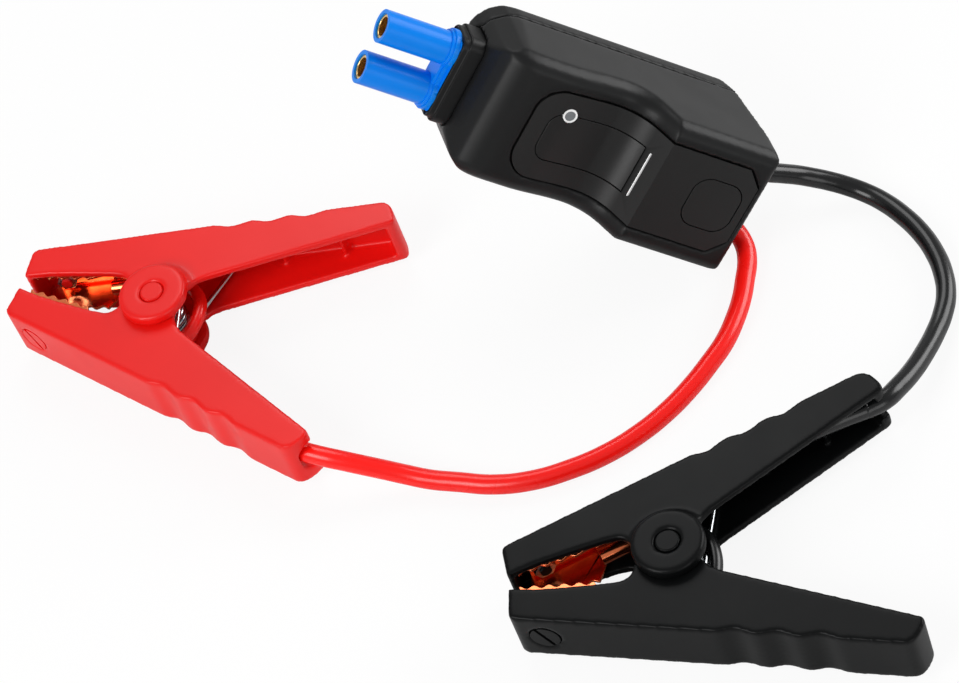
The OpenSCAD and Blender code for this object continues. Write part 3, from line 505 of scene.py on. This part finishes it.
# ABS from a spark-eroded mould, of the case: charcoal black that spreads the light.
CASE_ABS = MouldedPlastic(
    "case_black_abs_eroded", "#141515", "#111112", roughness=0.42, grain_mm=0.3, specular=0.21
)
# Satin ABS of the panel and the button: a little paler and duller than the case.
PANEL_ABS = MouldedPlastic("panel_black_abs_satin", "#191919", "#161616", roughness=0.44, specular=0.3)
# Smoked polycarbonate of the window: dark and smooth, with hardly any grain.
WINDOW_PC = MouldedPlastic(
    "window_smoked_polycarbonate", "#1b1b1b", "#181818", roughness=0.36, grain_depth_mm=0.001, specular=0.3
)
# Extruded silicone of the red lead: bright red, with a long highlight that wavers.
RED_SILICONE = SiliconeRubber("red_silicone_lead", "#ff1a14", "#fb1510")
# Extruded silicone of the black lead and the grommets: deep black, with the same highlight.
BLACK_SILICONE = SiliconeRubber("black_silicone_lead", "#0e0f10", "#0b0c0d")
# Moulded nylon of the connector: a strong blue with a calm, smooth skin.
BLUE_NYLON = MouldedPlastic(
    "blue_nylon_moulded", "#0084ee", "#007ce6", roughness=0.3, grain_depth_mm=0.002, specular=0.16
)
# Gold plate on turned brass: warm pale yellow with a soft mirror.
GOLD_PLATE = PlatedMetal("gold_plated_brass", "#ffe2a0", "#fccb76", roughness=0.24)
# Copper plate on stamped steel: pinkish orange that catches the light along its teeth.
COPPER_PLATE = PlatedMetal(
    "copper_plated_steel", "#fa8e60", "#e87446", roughness=0.2, grain_mm=0.8, grain_depth_mm=0.001
)
# Zinc plate on screws, nuts and sleeves: cool pale grey with a soft shine.
ZINC_STEEL = PlatedMetal("zinc_plated_steel", "#d6d8da", "#b4b7ba", roughness=0.22)
# Drawn spring wire: bare steel, a little darker than zinc.
SPRING_WIRE = PlatedMetal("drawn_spring_wire", "#c9ccce", "#a9adb0", roughness=0.2)
# Acrylic ring round the status light: milky white, with a faint painted glow, while the status light itself
# is unlit.
RING_PAINTED_GLOW = LightPipe("white_ring_painted_glow", "#dcdcdc", glow=0.08)
# Acrylic light pipe of the thin line: plain white, with a painted glow.
LINE_PAINTED_GLOW = LightPipe("white_line_painted_glow", "#ffffff", glow=0.4)
# Frosted acrylic lens of the status light, unlit: hazy grey.
LED_LENS = LightPipe("frosted_led_lens", "#6a6d70", "#7c7f82", roughness=0.35)
# Glass-fibre laminate under solder mask: dark, fairly glossy green.
BOARD_GREEN = MouldedPlastic("solder_mask_laminate", "#14603a", "#10502f", roughness=0.3, grain_mm=0.6)
# Moulded PBT of the relay and the switch: matt charcoal.
RELAY_CASE = MouldedPlastic("relay_case_pbt", "#202224", "#1b1d1f", roughness=0.5)
# Shrunk PVC sleeve of the capacitors: glossy dark blue.
CAN_SLEEVE = MouldedPlastic("capacitor_sleeve_pvc", "#28304a", "#202840", roughness=0.28)


class Finishes:
    """Keeps one built material for each finish."""

    def __init__(self) -> None:
        """Starts with nothing built."""
        self._made: dict[str, bpy.types.Material] = {}

    def of(self, finish: Finish) -> bpy.types.Material:
        """Gives the material of a finish, which is built on its first use.

        Args:
            finish: the finish.

        Returns:
            Its material.
        """
        if finish.name not in self._made:
            self._made[finish.name] = finish.material()
        return self._made[finish.name]


class Part:
    """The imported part, and the ways in which a piece of it is dressed or replaced."""

    def __init__(self) -> None:
        """Loads the frame and keeps its box."""
        self.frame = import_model()
        self.finishes = Finishes()
        self.cad_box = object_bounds()
        self.slots = {s["node"]: s["material_slot"] for s in self.frame["record"]["subparts"]}
        self.body = {n: b for b, ns in self.frame["record"]["behaviour"]["bodies"].items() for n in ns}

    def dress(self, node: str, finish: Finish) -> None:
        """Gives a CAD node that stays in view the material of a finish.

        Args:
            node: the CAD node.
            finish: its finish.
        """
        mesh = self.frame["nodes"][node].data
        mesh.materials.clear()
        mesh.materials.append(self.finishes.of(finish))
        LOG.info("%s is dressed in %s", node, finish.name)

    def place(
        self,
        name: str,
        mesh: bpy.types.Mesh,
        finish: Finish,
        *nodes: str,
        bend: tuple[str, str, Vector, Vector] | None = None,
    ) -> bpy.types.Object:
        """Adds a piece that stands for one or more CAD nodes.

        Args:
            name: the piece's name.
            mesh: its mesh, in the row frame.
            finish: its finish.
            nodes: the CAD nodes that it replaces; without bend, it rides on the body of the first.
            bend: given for a piece that runs between two bodies, with these and the points where it begins
                and ends; such a piece stays fixed in the row frame, and these bodies and points are not used.

        Returns:
            The new object.
        """
        mesh.materials.clear()
        mesh.materials.append(self.finishes.of(finish))
        piece = bpy.data.objects.new(name, mesh)
        bpy.context.scene.collection.objects.link(piece)
        if bend:
            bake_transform(piece)
        else:
            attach(piece, self.body[nodes[0]])
        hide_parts(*nodes)
        LOG.info("%s stands for %s", name, ", ".join(nodes))
        return piece

    def soft_edged(self, node: str, finish: Finish, width_mm: float) -> bpy.types.Object:
        """Replaces a CAD node by a merged copy of it whose edges are rounded.

        Args:
            node: the CAD node.
            finish: its finish.
            width_mm: the width of the rounding.

        Returns:
            The new object.
        """
        shape = bmesh.new()
        shape.from_mesh(self.frame["nodes"][node].data)
        bmesh.ops.remove_doubles(shape, verts=shape.verts, dist=MERGE_MM * MM)
        bmesh.ops.dissolve_limit(
            shape,
            angle_limit=math.radians(FLAT_DEG),
            verts=shape.verts,
            edges=shape.edges,
            delimit={"NORMAL"},
        )
        for face in shape.faces:
            face.smooth = True
        mesh = bpy.data.meshes.new(f"{node}_soft")
        shape.to_mesh(mesh)
        shape.free()
        piece = self.place(f"{node}_soft", mesh, finish, node)
        rounding = piece.modifiers.new("rounding", "BEVEL")
        rounding.width = width_mm * MM
        rounding.segments = 3 if width_mm >= WIDE_EDGE_MM else 2
        rounding.limit_method = "ANGLE"
        rounding.angle_limit = math.radians(SHARP_DEG)
        rounding.use_clamp_overlap = True
        rounding.harden_normals = True
        even = piece.modifiers.new("even_shading", "WEIGHTED_NORMAL")
        even.weight = SHADING_WEIGHT
        return piece

    def moulded(self, node: str, finish: Finish, voxel_mm: float, passes: int) -> bpy.types.Object:
        """Replaces a CAD node by a remeshed copy of it whose every edge is rounded like a moulding's.

        The mesh is turned askew while it is remeshed, so that no edge of it runs along the voxels.

        Args:
            node: the CAD node.
            finish: its finish.
            voxel_mm: size of the new mesh's faces.
            passes: how often the mesh is smoothed; more passes give rounder edges.

        Returns:
            The new object.
        """
        askew = ASKEW.to_matrix().to_4x4()
        source = self.frame["nodes"][node].data.copy()
        source.transform(askew)
        draft = bpy.data.objects.new("draft", source)
        bpy.context.scene.collection.objects.link(draft)
        skin = draft.modifiers.new("skin", "REMESH")
        skin.mode = "VOXEL"
        skin.voxel_size = voxel_mm * MM
        skin.use_smooth_shade = True
        soft = draft.modifiers.new("soft_edges", "SMOOTH")
        soft.factor = 0.5
        soft.iterations = passes
        shaped = draft.evaluated_get(bpy.context.evaluated_depsgraph_get())
        mesh = bpy.data.meshes.new_from_object(shaped)
        bpy.data.objects.remove(draft)
        bpy.data.meshes.remove(source)
        mesh.transform(askew.inverted())
        mesh.name = f"{node}_moulded"
        LOG.info("%s has %d faces", mesh.name, len(mesh.polygons))
        return self.place(f"{node}_moulded", mesh, finish, node)


# ---------------------------------------------------------------- studio


@dataclass(frozen=True)
class Lamp:
    """A square soft lamp that points at the origin: place and size in metres, and power in watts."""

    name: str
    place: tuple[float, float, float]
    size: float
    watts: float

    def hang(self) -> None:
        """Hangs the lamp in its place."""
        data = bpy.data.lights.new(self.name, "AREA")
        data.shape = "SQUARE"
        data.size = self.size
        data.energy = self.watts
        lamp = bpy.data.objects.new(self.name, data)
        lamp.location = self.place
        lamp.rotation_mode = "QUATERNION"
        lamp.rotation_quaternion = (-Vector(self.place)).to_track_quat("-Z", "Y")
        bpy.context.scene.collection.objects.link(lamp)


@dataclass
class Studio:
    """Camera, floor and lights.

    floor_white is the share of the floor's own white where the floor is seen, and the rest of it keeps the
    shadows. world_fill is the world's strength on the part, and world_shine its extra share in reflections.
    """

    target_mm: tuple[float, float, float] = (12.5, 28.2, 11.6)
    distance_mm: float = 974.0
    elevation_deg: float = 51.07
    roll_deg: float = -22.82
    sensor_mm: float = 36.0
    focal_mm: float = 141.45
    near_m: float = 0.05
    far_m: float = 20.0
    floor_m: float = 6.0
    floor_drop_m: float = 0.0002
    floor_white: float = 0.9
    world_fill: float = 0.26
    world_shine: float = 0.3
    lamps: tuple[Lamp, ...] = (
        Lamp("key", (-0.62, -0.34, 0.66), 0.5, 6.0),
        Lamp("right", (0.85, 0.1, 0.3), 0.5, 4.8),
        Lamp("back", (0.15, 0.6, 0.7), 0.45, 2.2),
        Lamp("front", (0.35, -0.9, 0.3), 0.5, 1.8),
    )

    def camera(self) -> None:
        """Sets the camera that looks down on the bench from the front, rolled to the right."""
        raised = math.radians(self.elevation_deg)
        back = Vector((0.0, -math.cos(raised), math.sin(raised)))
        up = Vector((0.0, math.sin(raised), math.cos(raised)))
        across = Vector((1.0, 0.0, 0.0))
        roll = math.radians(self.roll_deg)
        right = math.cos(roll) * across + math.sin(roll) * up
        top = -math.sin(roll) * across + math.cos(roll) * up
        turned = Matrix((right, top, back)).transposed().to_4x4()
        place = Matrix.Translation(Vector(self.target_mm) * MM + back * self.distance_mm * MM)
        data = bpy.data.cameras.new("camera")
        data.sensor_width = self.sensor_mm
        data.lens = self.focal_mm
        data.clip_start = self.near_m
        data.clip_end = self.far_m
        camera = bpy.data.objects.new("camera", data)
        camera.matrix_world = place @ turned
        bpy.context.scene.collection.objects.link(camera)
        bpy.context.scene.camera = camera

    def floor(self) -> None:
        """Lays a plain white floor that keeps a faint shadow."""
        shape = bmesh.new()
        bmesh.ops.create_grid(shape, x_segments=1, y_segments=1, size=self.floor_m / 2)
        mesh = bpy.data.meshes.new("floor")
        shape.to_mesh(mesh)
        shape.free()
        made, tree = new_material("white_card")
        seen = seen_directly(tree, add_node(tree, "ShaderNodeLightPath"))
        share = add_node(tree, "ShaderNodeMath", {"operation": "MULTIPLY", 1: self.floor_white}, {0: seen})
        card = add_node(tree, "ShaderNodeBsdfDiffuse", {"Color": linear("#f4f4f4")})
        white = add_node(tree, "ShaderNodeEmission", {"Color": linear("#ffffff"), "Strength": 1.0})
        mixed = add_node(
            tree, "ShaderNodeMixShader", None, {0: share.outputs[0], 1: card.outputs[0], 2: white.outputs[0]}
        )
        add_node(tree, "ShaderNodeOutputMaterial", None, {"Surface": mixed.outputs[0]})
        mesh.materials.append(made)
        floor = bpy.data.objects.new("floor", mesh)
        floor.location = (0.0, 0.0, -self.floor_drop_m)
        bpy.context.scene.collection.objects.link(floor)
        floor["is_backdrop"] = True

    def lights(self) -> None:
        """Hangs the lamps and sets the world."""
        for lamp in self.lamps:
            lamp.hang()
        world = bpy.data.worlds.new("studio")
        bpy.context.scene.world = world
        world.use_nodes = True
        tree = world.node_tree
        tree.nodes.clear()
        rays = add_node(tree, "ShaderNodeLightPath")
        shine = add_node(
            tree,
            "ShaderNodeMath",
            {"operation": "MULTIPLY_ADD", 1: self.world_shine},
            {0: rays.outputs["Is Glossy Ray"], 2: seen_directly(tree, rays)},
        )
        strength = add_node(tree, "ShaderNodeMapRange", {3: self.world_fill, 4: 1.0}, {0: shine.outputs[0]})
        sky = add_node(
            tree, "ShaderNodeBackground", {"Color": linear("#ffffff")}, {"Strength": strength.outputs[0]}
        )
        add_node(tree, "ShaderNodeOutputWorld", None, {"Surface": sky.outputs[0]})

    def build(self) -> None:
        """Sets up the whole studio."""
        self.camera()
        self.floor()
        self.lights()
        bpy.context.scene.view_settings.view_transform = "Standard"


# ---------------------------------------------------------------- leads


@dataclass
class FreeLead:
    """One silicone lead from the module to its clamp, along its route on the bench.

    way_out_deg is the yaw in which it leaves the handle, and way_out_mm is how far it keeps to it.
    """

    name: str
    node: str
    route_mm: list[tuple[float, float, float]]
    finish: SiliconeRubber
    way_out_deg: float
    way_out_mm: float = 2.0
    rim_steps: int = 8
    knot_steps: int = 10

    def build(self, part: Part) -> bpy.types.Object:
        """Args:
            part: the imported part.

        Returns:
            The lead's object.
        """
        data = bpy.data.curves.new(self.name, "CURVE")
        data.dimensions = "3D"
        data.bevel_depth = LEAD_RADIUS_MM * MM
        data.bevel_resolution = self.rim_steps
        data.resolution_u = self.knot_steps
        data.use_fill_caps = True
        line = data.splines.new("BEZIER")
        line.bezier_points.add(len(self.route_mm) - 1)
        for knot, point in zip(line.bezier_points, self.route_mm):
            knot.co = Vector(point) * MM
            knot.handle_left_type = "AUTO"
            knot.handle_right_type = "AUTO"
        last = line.bezier_points[-1]
        last.handle_left_type = last.handle_right_type = "FREE"
        way = math.radians(self.way_out_deg)
        outwards = Vector((math.cos(way), math.sin(way), 0.0)) * self.way_out_mm * MM
        last.handle_left = last.co + outwards
        last.handle_right = last.co - outwards
        data.materials.append(part.finishes.of(self.finish))
        lead = bpy.data.objects.new(self.name, data)
        bpy.context.scene.collection.objects.link(lead)
        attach(lead, part.body[self.node])
        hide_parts(self.node)
        LOG.info("%s is %.0f mm long", self.name, line.calc_length() / MM)
        return lead


RED_ROUTE_MM = [
    (81.74, 36.68, 10.72), (83.3, 35.9, 8.9), (84.6, 34.7, 7.2), (85.4, 33, 5.7), (85.8, 31.1, 4.3),
    (85.7, 28.8, 3.3), (85.1, 26.5, 2.8), (84.1, 24, 2.6), (82.2, 20.4, 2.6), (79.3, 15.1, 2.6),
    (75.2, 9.4, 2.6), (70.4, 4.1, 2.6), (64.6, -0.4, 2.6), (57.6, -5.1, 2.6), (49.6, -9.3, 2.6),
    (40.2, -12.6, 2.6), (30.6, -14.3, 2.6), (21, -14.3, 2.6), (11.2, -12.9, 2.6), (1.8, -9.4, 2.6),
    (-6.4, -4.4, 2.8), (-12.8, -0.6, 3.4), (-18, 2.9, 4.6), (-22.8, 5.8, 6.4), (-27.6, 8.4, 8.5),
    (-31.8, 10.8, 10.2), (-35.2, 13, 11.2), (-37.8, 15.1, 11.55), (-40, 17.3, 11.6), (-41.43, 19.6, 11.6),
]
BLACK_ROUTE_MM = [
    (93.21, 39.33, 21.55), (95.4, 38.9, 19.45), (97.3, 38.8, 17.7), (99, 38.8, 16.15), (100.8, 38.9, 14.7),
    (102.6, 38.9, 13.3), (105.6, 38.8, 11), (108.9, 37.9, 8.9), (112.4, 36.6, 6.8), (116.4, 34.3, 4.7),
    (120.4, 30.6, 3.2), (123.4, 26.1, 2.7), (126.2, 19.5, 2.6), (128.2, 11.9, 2.6), (128.9, 4.5, 2.6),
    (128.4, -2.4, 2.6), (126.4, -9.5, 2.6), (123.2, -15, 2.8), (119.2, -20.1, 3.6), (114.4, -25.8, 5.6),
    (109, -31.5, 8), (103.8, -35.9, 10.2), (99.2, -38.75, 11.5), (93.92, -39.32, 11.6),
]


# ---------------------------------------------------------------- clamps


class Clamp(Enum):
    """The two clamps, each with its label, its plastic, its silicone, its yaw and its way up."""

    RED = ("red", RED_ABS, RED_SILICONE, -36.9, -1)
    BLACK = ("black", BLACK_ABS, BLACK_SILICONE, -13.4, 1)

    @property
    def label(self) -> str:
        """The first word of the clamp's node names."""
        return self.value[0]

    @property
    def plastic(self) -> MouldedPlastic:
        """The finish of the mouldings."""
        return self.value[1]

    @property
    def silicone(self) -> SiliconeRubber:
        """The finish of the lead and of the bridge wire."""
        return self.value[2]

    @property
    def yaw_deg(self) -> float:
        """The clamp's turn on the bench."""
        return self.value[3]

    @property
    def flip(self) -> int:
        """1 where the clamp lies on its base side, -1 where it is turned over."""
        return self.value[4]


@dataclass
class ClampPlace:
    """Where a clamp lies: its pivot in millimetres, its yaw and its way up."""

    pivot: Vector
    yaw_deg: float
    flip: int

    @classmethod
    def of(cls, clamp: Clamp, part: Part) -> ClampPlace:
        """Takes the pivot from the clamp's hinge in the part.

        Args:
            clamp: the clamp.
            part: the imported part.

        Returns:
            The clamp's place.
        """
        joints = part.frame["record"]["behaviour"]["joints"]
        hinge = next(j for j in joints if j["name"] == f"{clamp.label}_clamp_hinge")
        return cls(Vector(hinge["pos_m"]) / MM, clamp.yaw_deg, clamp.flip)

    def at(self, x: float, y: float, z: float = 0.0) -> Vector:
        """Puts a point of the clamp's own frame into the row frame.

        Args:
            x: its place along the clamp, from the pivot towards the lead.
            y: its place across the clamp, towards the cabled side.
            z: its place along the pivot pin.

        Returns:
            The point, in millimetres of the row frame.
        """
        yaw = math.radians(self.yaw_deg)
        y, z = self.flip * y, self.flip * z
        turned = Vector((x * math.cos(yaw) - y * math.sin(yaw), x * math.sin(yaw) + y * math.cos(yaw), z))
        return self.pivot + turned


@dataclass
class HandleLine:
    """The outer face of a handle, from which the pieces inside it are measured.

    It starts at the nose, rises by its tilt and runs back as far as the end wall. Lengths are in millimetres.
    """

    nose: tuple[float, float] = (-40.0, 11.1)
    tilt_deg: float = 17.4
    run: float = 93.0
    end_inset: float = 1.0

    def under(self, along: float, depth: float) -> tuple[float, float]:
        """Finds a point along the face and under it.

        Args:
            along: how far along the face it is, from the nose.
            depth: how far under the face it is.

        Returns:
            Its x and y in the clamp's own frame.
        """
        tilt = math.radians(self.tilt_deg)
        x = self.nose[0] + along * math.cos(tilt) + depth * math.sin(tilt)
        return x, self.nose[1] + along * math.sin(tilt) - depth * math.cos(tilt)

    @property
    def length(self) -> float:
        """Length of the face as far as the end wall."""
        return self.run / math.cos(math.radians(self.tilt_deg)) - self.end_inset


@dataclass
class ClampDress:
    """One clamp: two moulded handles, copper jaws, spring, pin, bridge wire and the lead inside.

    Lengths are in millimetres. The bridge wire goes straight on for crimp_run behind its crimp, and then
    along loop, whose other half is its mirror image. The lead inside goes straight on for lead_run, lies on
    seat_wall over seat_span of the handle, counted back from its end, and stops lead_short of it. At its
    knots it rises by lifts from the middle, so that it lies against the upper side wall.
    """

    clamp: Clamp
    face: HandleLine = field(default_factory=HandleLine)
    handle_voxel: float = 0.4
    handle_passes: int = 20
    jaw_edge: float = 0.15
    screw_edge: float = 0.25
    pin_edge: float = 0.3
    crimp_end: float = 27.32
    crimp_depth: float = 10.54
    crimp_run: float = 4.0
    loop: tuple[tuple[float, float], ...] = ((-2.4, 11.2), (1.6, 11.1), (5.4, 9.2), (8.2, 6.2), (9.4, 2.4))
    bridge_radius: float = 1.9
    coil_radius: float = 5.6
    coil_half: float = 4.35
    coil_turns: int = 4
    turn_steps: int = 40
    wire_radius: float = 0.75
    wire_sides: int = 12
    leg: float = 24.0
    leg_deg: float = 15.0
    leg_steps: int = 12
    spring_band: float = 5.0
    bridge_band: float = 9.0
    seat_wall: float = 2.9
    seat_span: tuple[float, float] = (45.0, 14.0)
    lead_gap: float = 0.05
    lead_slip: float = 0.07
    lead_run: float = 5.0
    lead_short: float = 1.0
    lifts: tuple[float, ...] = (0.0, 0.4, 2.0, 1.6, 0.0)

    def build(self, part: Part) -> None:
        """Dresses every piece of the clamp.

        Args:
            part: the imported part.
        """
        label, plastic = self.clamp.label, self.clamp.plastic
        place = ClampPlace.of(self.clamp, part)
        for side in ("cabled", "squeeze"):
            part.moulded(f"{label}_{side}_handle", plastic, self.handle_voxel, self.handle_passes)
            part.soft_edged(f"{label}_{side}_jaw", COPPER_PLATE, self.jaw_edge)
            part.soft_edged(f"{label}_{side}_jaw_screw", plastic, self.screw_edge)
            part.dress(f"{label}_{side}_jaw_nut", ZINC_STEEL)
            part.soft_edged(f"{label}_{side}_lug", COPPER_PLATE, self.jaw_edge)
        part.soft_edged(f"{label}_pivot_pin", plastic, self.pin_edge)
        part.dress(f"{label}_spring_sleeve", ZINC_STEEL)
        self.spring(part, place)
        self.bridge(part, place)
        self.inner_lead(part, place)

    def bend(self, place: ClampPlace, half: float) -> tuple[str, str, Vector, Vector]:
        """The bodies that a piece runs between, and a band across the pivot line.

        Args:
            place: where the clamp lies.
            half: half the width of the band.

        Returns:
            The two bodies, and the points, in metres, where the band begins and ends.
        """
        squeezed = f"{self.clamp.label}_squeeze_side"
        return "root", squeezed, place.at(0, half) * MM, place.at(0, -half) * MM

    def spring(self, part: Part, place: ClampPlace) -> None:
        """Winds the torsion spring with its two straight legs.

        Args:
            part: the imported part.
            place: where the clamp lies.
        """
        lean = math.radians(self.leg_deg)
        turn = 2 * math.pi * self.coil_turns - 2 * lean
        steps = self.turn_steps * self.coil_turns
        coil = []
        for i in range(steps + 1):
            angle = lean + turn * i / steps
            z = self.coil_half * (1 - 2 * i / steps)
            coil.append(place.at(self.coil_radius * math.cos(angle), self.coil_radius * math.sin(angle), z))
        x = self.coil_radius * math.cos(lean)
        y = self.coil_radius * math.sin(lean)
        legs = []
        for k in range(1, self.leg_steps + 1):
            reach = self.leg * k / self.leg_steps
            legs.append((x + reach * math.sin(lean), reach * math.cos(lean) - y))
        first = [place.at(leg_x, -leg_y, self.coil_half) for leg_x, leg_y in reversed(legs)]
        last = [place.at(leg_x, leg_y, -self.coil_half) for leg_x, leg_y in legs]
        name = f"{self.clamp.label}_spring_wire"
        mesh = tube_mesh(name, [*first, *coil, *last], self.wire_radius, self.wire_sides)
        node = f"{self.clamp.label}_torsion_spring"
        part.place(name, mesh, SPRING_WIRE, node, bend=self.bend(place, self.spring_band))

    def bridge(self, part: Part, place: ClampPlace) -> None:
        """Lays the bridge wire from one lug, round the spring, to the other.

        Args:
            part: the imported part.
            place: where the clamp lies.
        """
        half = [
            self.face.under(self.crimp_end, self.crimp_depth),
            self.face.under(self.crimp_end + self.crimp_run, self.crimp_depth),
            *self.loop,
        ]
        knots = [place.at(x, y) for x, y in half] + [place.at(x, -y) for x, y in reversed(half)]
        name = f"{self.clamp.label}_bridge"
        mesh = tube_mesh(name, smooth_line(knots), self.bridge_radius)
        node = f"{self.clamp.label}_bridge_wire"
        part.place(name, mesh, self.clamp.silicone, node, bend=self.bend(place, self.bridge_band))

    def inner_lead(self, part: Part, place: ClampPlace) -> None:
        """Lays the lead inside the handle, from its crimp to the end wall, where the free lead takes over.

        Args:
            part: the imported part.
            place: where the clamp lies.
        """
        start = self.crimp_depth - self.bridge_radius - LEAD_RADIUS_MM - self.lead_gap
        seat = self.seat_wall + LEAD_RADIUS_MM
        end = self.face.length
        knots = [
            self.face.under(self.crimp_end, start),
            self.face.under(self.crimp_end + self.lead_run, start),
            *(self.face.under(end - back, seat) for back in (*self.seat_span, self.lead_short)),
        ]
        line = smooth_line([place.at(x, y, place.flip * lift) for (x, y), lift in zip(knots, self.lifts)])
        name = f"{self.clamp.label}_inner_lead"
        mesh = tube_mesh(name, line, LEAD_RADIUS_MM - self.lead_slip)
        part.place(name, mesh, self.clamp.silicone, f"{self.clamp.label}_handle_lead")


# ---------------------------------------------------------------- control module


@dataclass
class ModuleDress:
    """The control module with its panel, button, lights, connector and inner pieces.

    Lengths are in millimetres. corner is the place of the module's own frame, turns are its turns in order,
    and tail_start is where the leads enter it, in that frame. From there the ends of the leads go back and
    down as tail_drop says. lit_share is the share of the light bar's width that shows as its thin white line,
    whose glow is painted.
    """

    corner: tuple[float, float, float] = (34.45, 76.2, 62.95)
    turns: tuple[tuple[float, str], ...] = ((-14.7, "Z"), (43.9, "Y"), (70.0, "X"))
    lower_voxel: float = 0.5
    lower_passes: int = 9
    upper_voxel: float = 0.54
    upper_passes: int = 8
    panel_edge: float = 0.2
    window_edge: float = 0.15
    button_edge: float = 0.3
    connector_edge: float = 0.35
    socket_edge: float = 0.2
    collar_edge: float = 0.5
    bar_slope_deg: float = 60.0
    lit_share: float = 0.2
    tail_start: tuple[float, float, float] = (76.4, 8.0, 25.0)
    tail_drop: tuple[tuple[float, float], ...] = (
        (0.0, 0.0), (4.5, 0.0), (8.0, 1.6), (10.5, 4.6), (13.0, 7.8), (16.5, 9.4), (20.5, 9.5),
    )

    def build(self, part: Part) -> None:
        """Dresses every piece of the module.

        Args:
            part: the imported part.
        """
        part.moulded("lower_shell", CASE_ABS, self.lower_voxel, self.lower_passes)
        part.moulded("upper_shell", CASE_ABS, self.upper_voxel, self.upper_passes)
        part.soft_edged("trim_panel", PANEL_ABS, self.panel_edge)
        part.soft_edged("panel_window", WINDOW_PC, self.window_edge)
        part.soft_edged("boost_button", PANEL_ABS, self.button_edge)
        self.light_line(part)
        part.dress("led_lens", LED_LENS)
        part.dress("led_bezel", RING_PAINTED_GLOW)
        part.soft_edged("connector_body", BLUE_NYLON, self.connector_edge)
        part.soft_edged("contact_sockets", GOLD_PLATE, self.socket_edge)
        part.soft_edged("connector_collar", CASE_ABS, self.collar_edge)
        for node, finish in (
            ("button_switch", RELAY_CASE),
            ("switch_board", BOARD_GREEN),
            ("power_board", BOARD_GREEN),
            ("power_relay", RELAY_CASE),
            ("capacitors", CAN_SLEEVE),
            ("contact_straps", COPPER_PLATE),
            ("case_screws", ZINC_STEEL),
            ("red_grommet", BLACK_SILICONE),
            ("black_grommet", BLACK_SILICONE),
        ):
            part.dress(node, finish)
        self.tails(part)

    def stand(self) -> Matrix:
        """Works out the turn and the place of the module's own frame.

        Returns:
            The matrix from that frame to the row frame, in millimetres.
        """
        place = Matrix.Translation(Vector(self.corner))
        for turn, axis in self.turns:
            place = place @ Matrix.Rotation(math.radians(turn), 4, axis)
        return place

    def light_line(self, part: Part) -> None:
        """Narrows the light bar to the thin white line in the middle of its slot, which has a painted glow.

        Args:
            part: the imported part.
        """
        mesh = part.frame["nodes"]["light_bar"].data.copy()
        mesh.name = "light_line"
        slope = math.radians(self.bar_slope_deg)
        across = (self.stand().to_3x3() @ Vector((math.cos(slope), 0, math.sin(slope)))).normalized()
        middle = sum((v.co for v in mesh.vertices), Vector()) / len(mesh.vertices)
        for vertex in mesh.vertices:
            vertex.co -= (1 - self.lit_share) * (vertex.co - middle).dot(across) * across
        part.place("light_line", mesh, LINE_PAINTED_GLOW, "light_bar")

    def tails(self, part: Part) -> None:
        """Lays the ends of the leads inside the module, down to the power board.

        Args:
            part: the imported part.
        """
        place = self.stand()
        x, y, z = self.tail_start
        for label, side, finish in (("red", -1, RED_SILICONE), ("black", 1, BLACK_SILICONE)):
            knots = [place @ Vector((x - back, side * y, z - down)) for back, down in self.tail_drop]
            mesh = tube_mesh(f"{label}_tail", smooth_line(knots), LEAD_RADIUS_MM)
            part.place(f"{label}_tail", mesh, finish, f"{label}_lead_tail")


def main() -> None:
    """Builds the studio, the leads, the clamps and the module, and finishes the frame."""
    logging.basicConfig(level=logging.INFO, format="%(name)s: %(message)s")
    part = Part()
    Studio().build()
    FreeLead("red_free_lead", "red_lead", RED_ROUTE_MM, RED_SILICONE, -54.3).build(part)
    FreeLead("black_free_lead", "black_lead", BLACK_ROUTE_MM, BLACK_SILICONE, 4.0).build(part)
    for clamp in Clamp:
        ClampDress(clamp).build(part)
    ModuleDress().build(part)


if __name__ == "__main__":
    main()
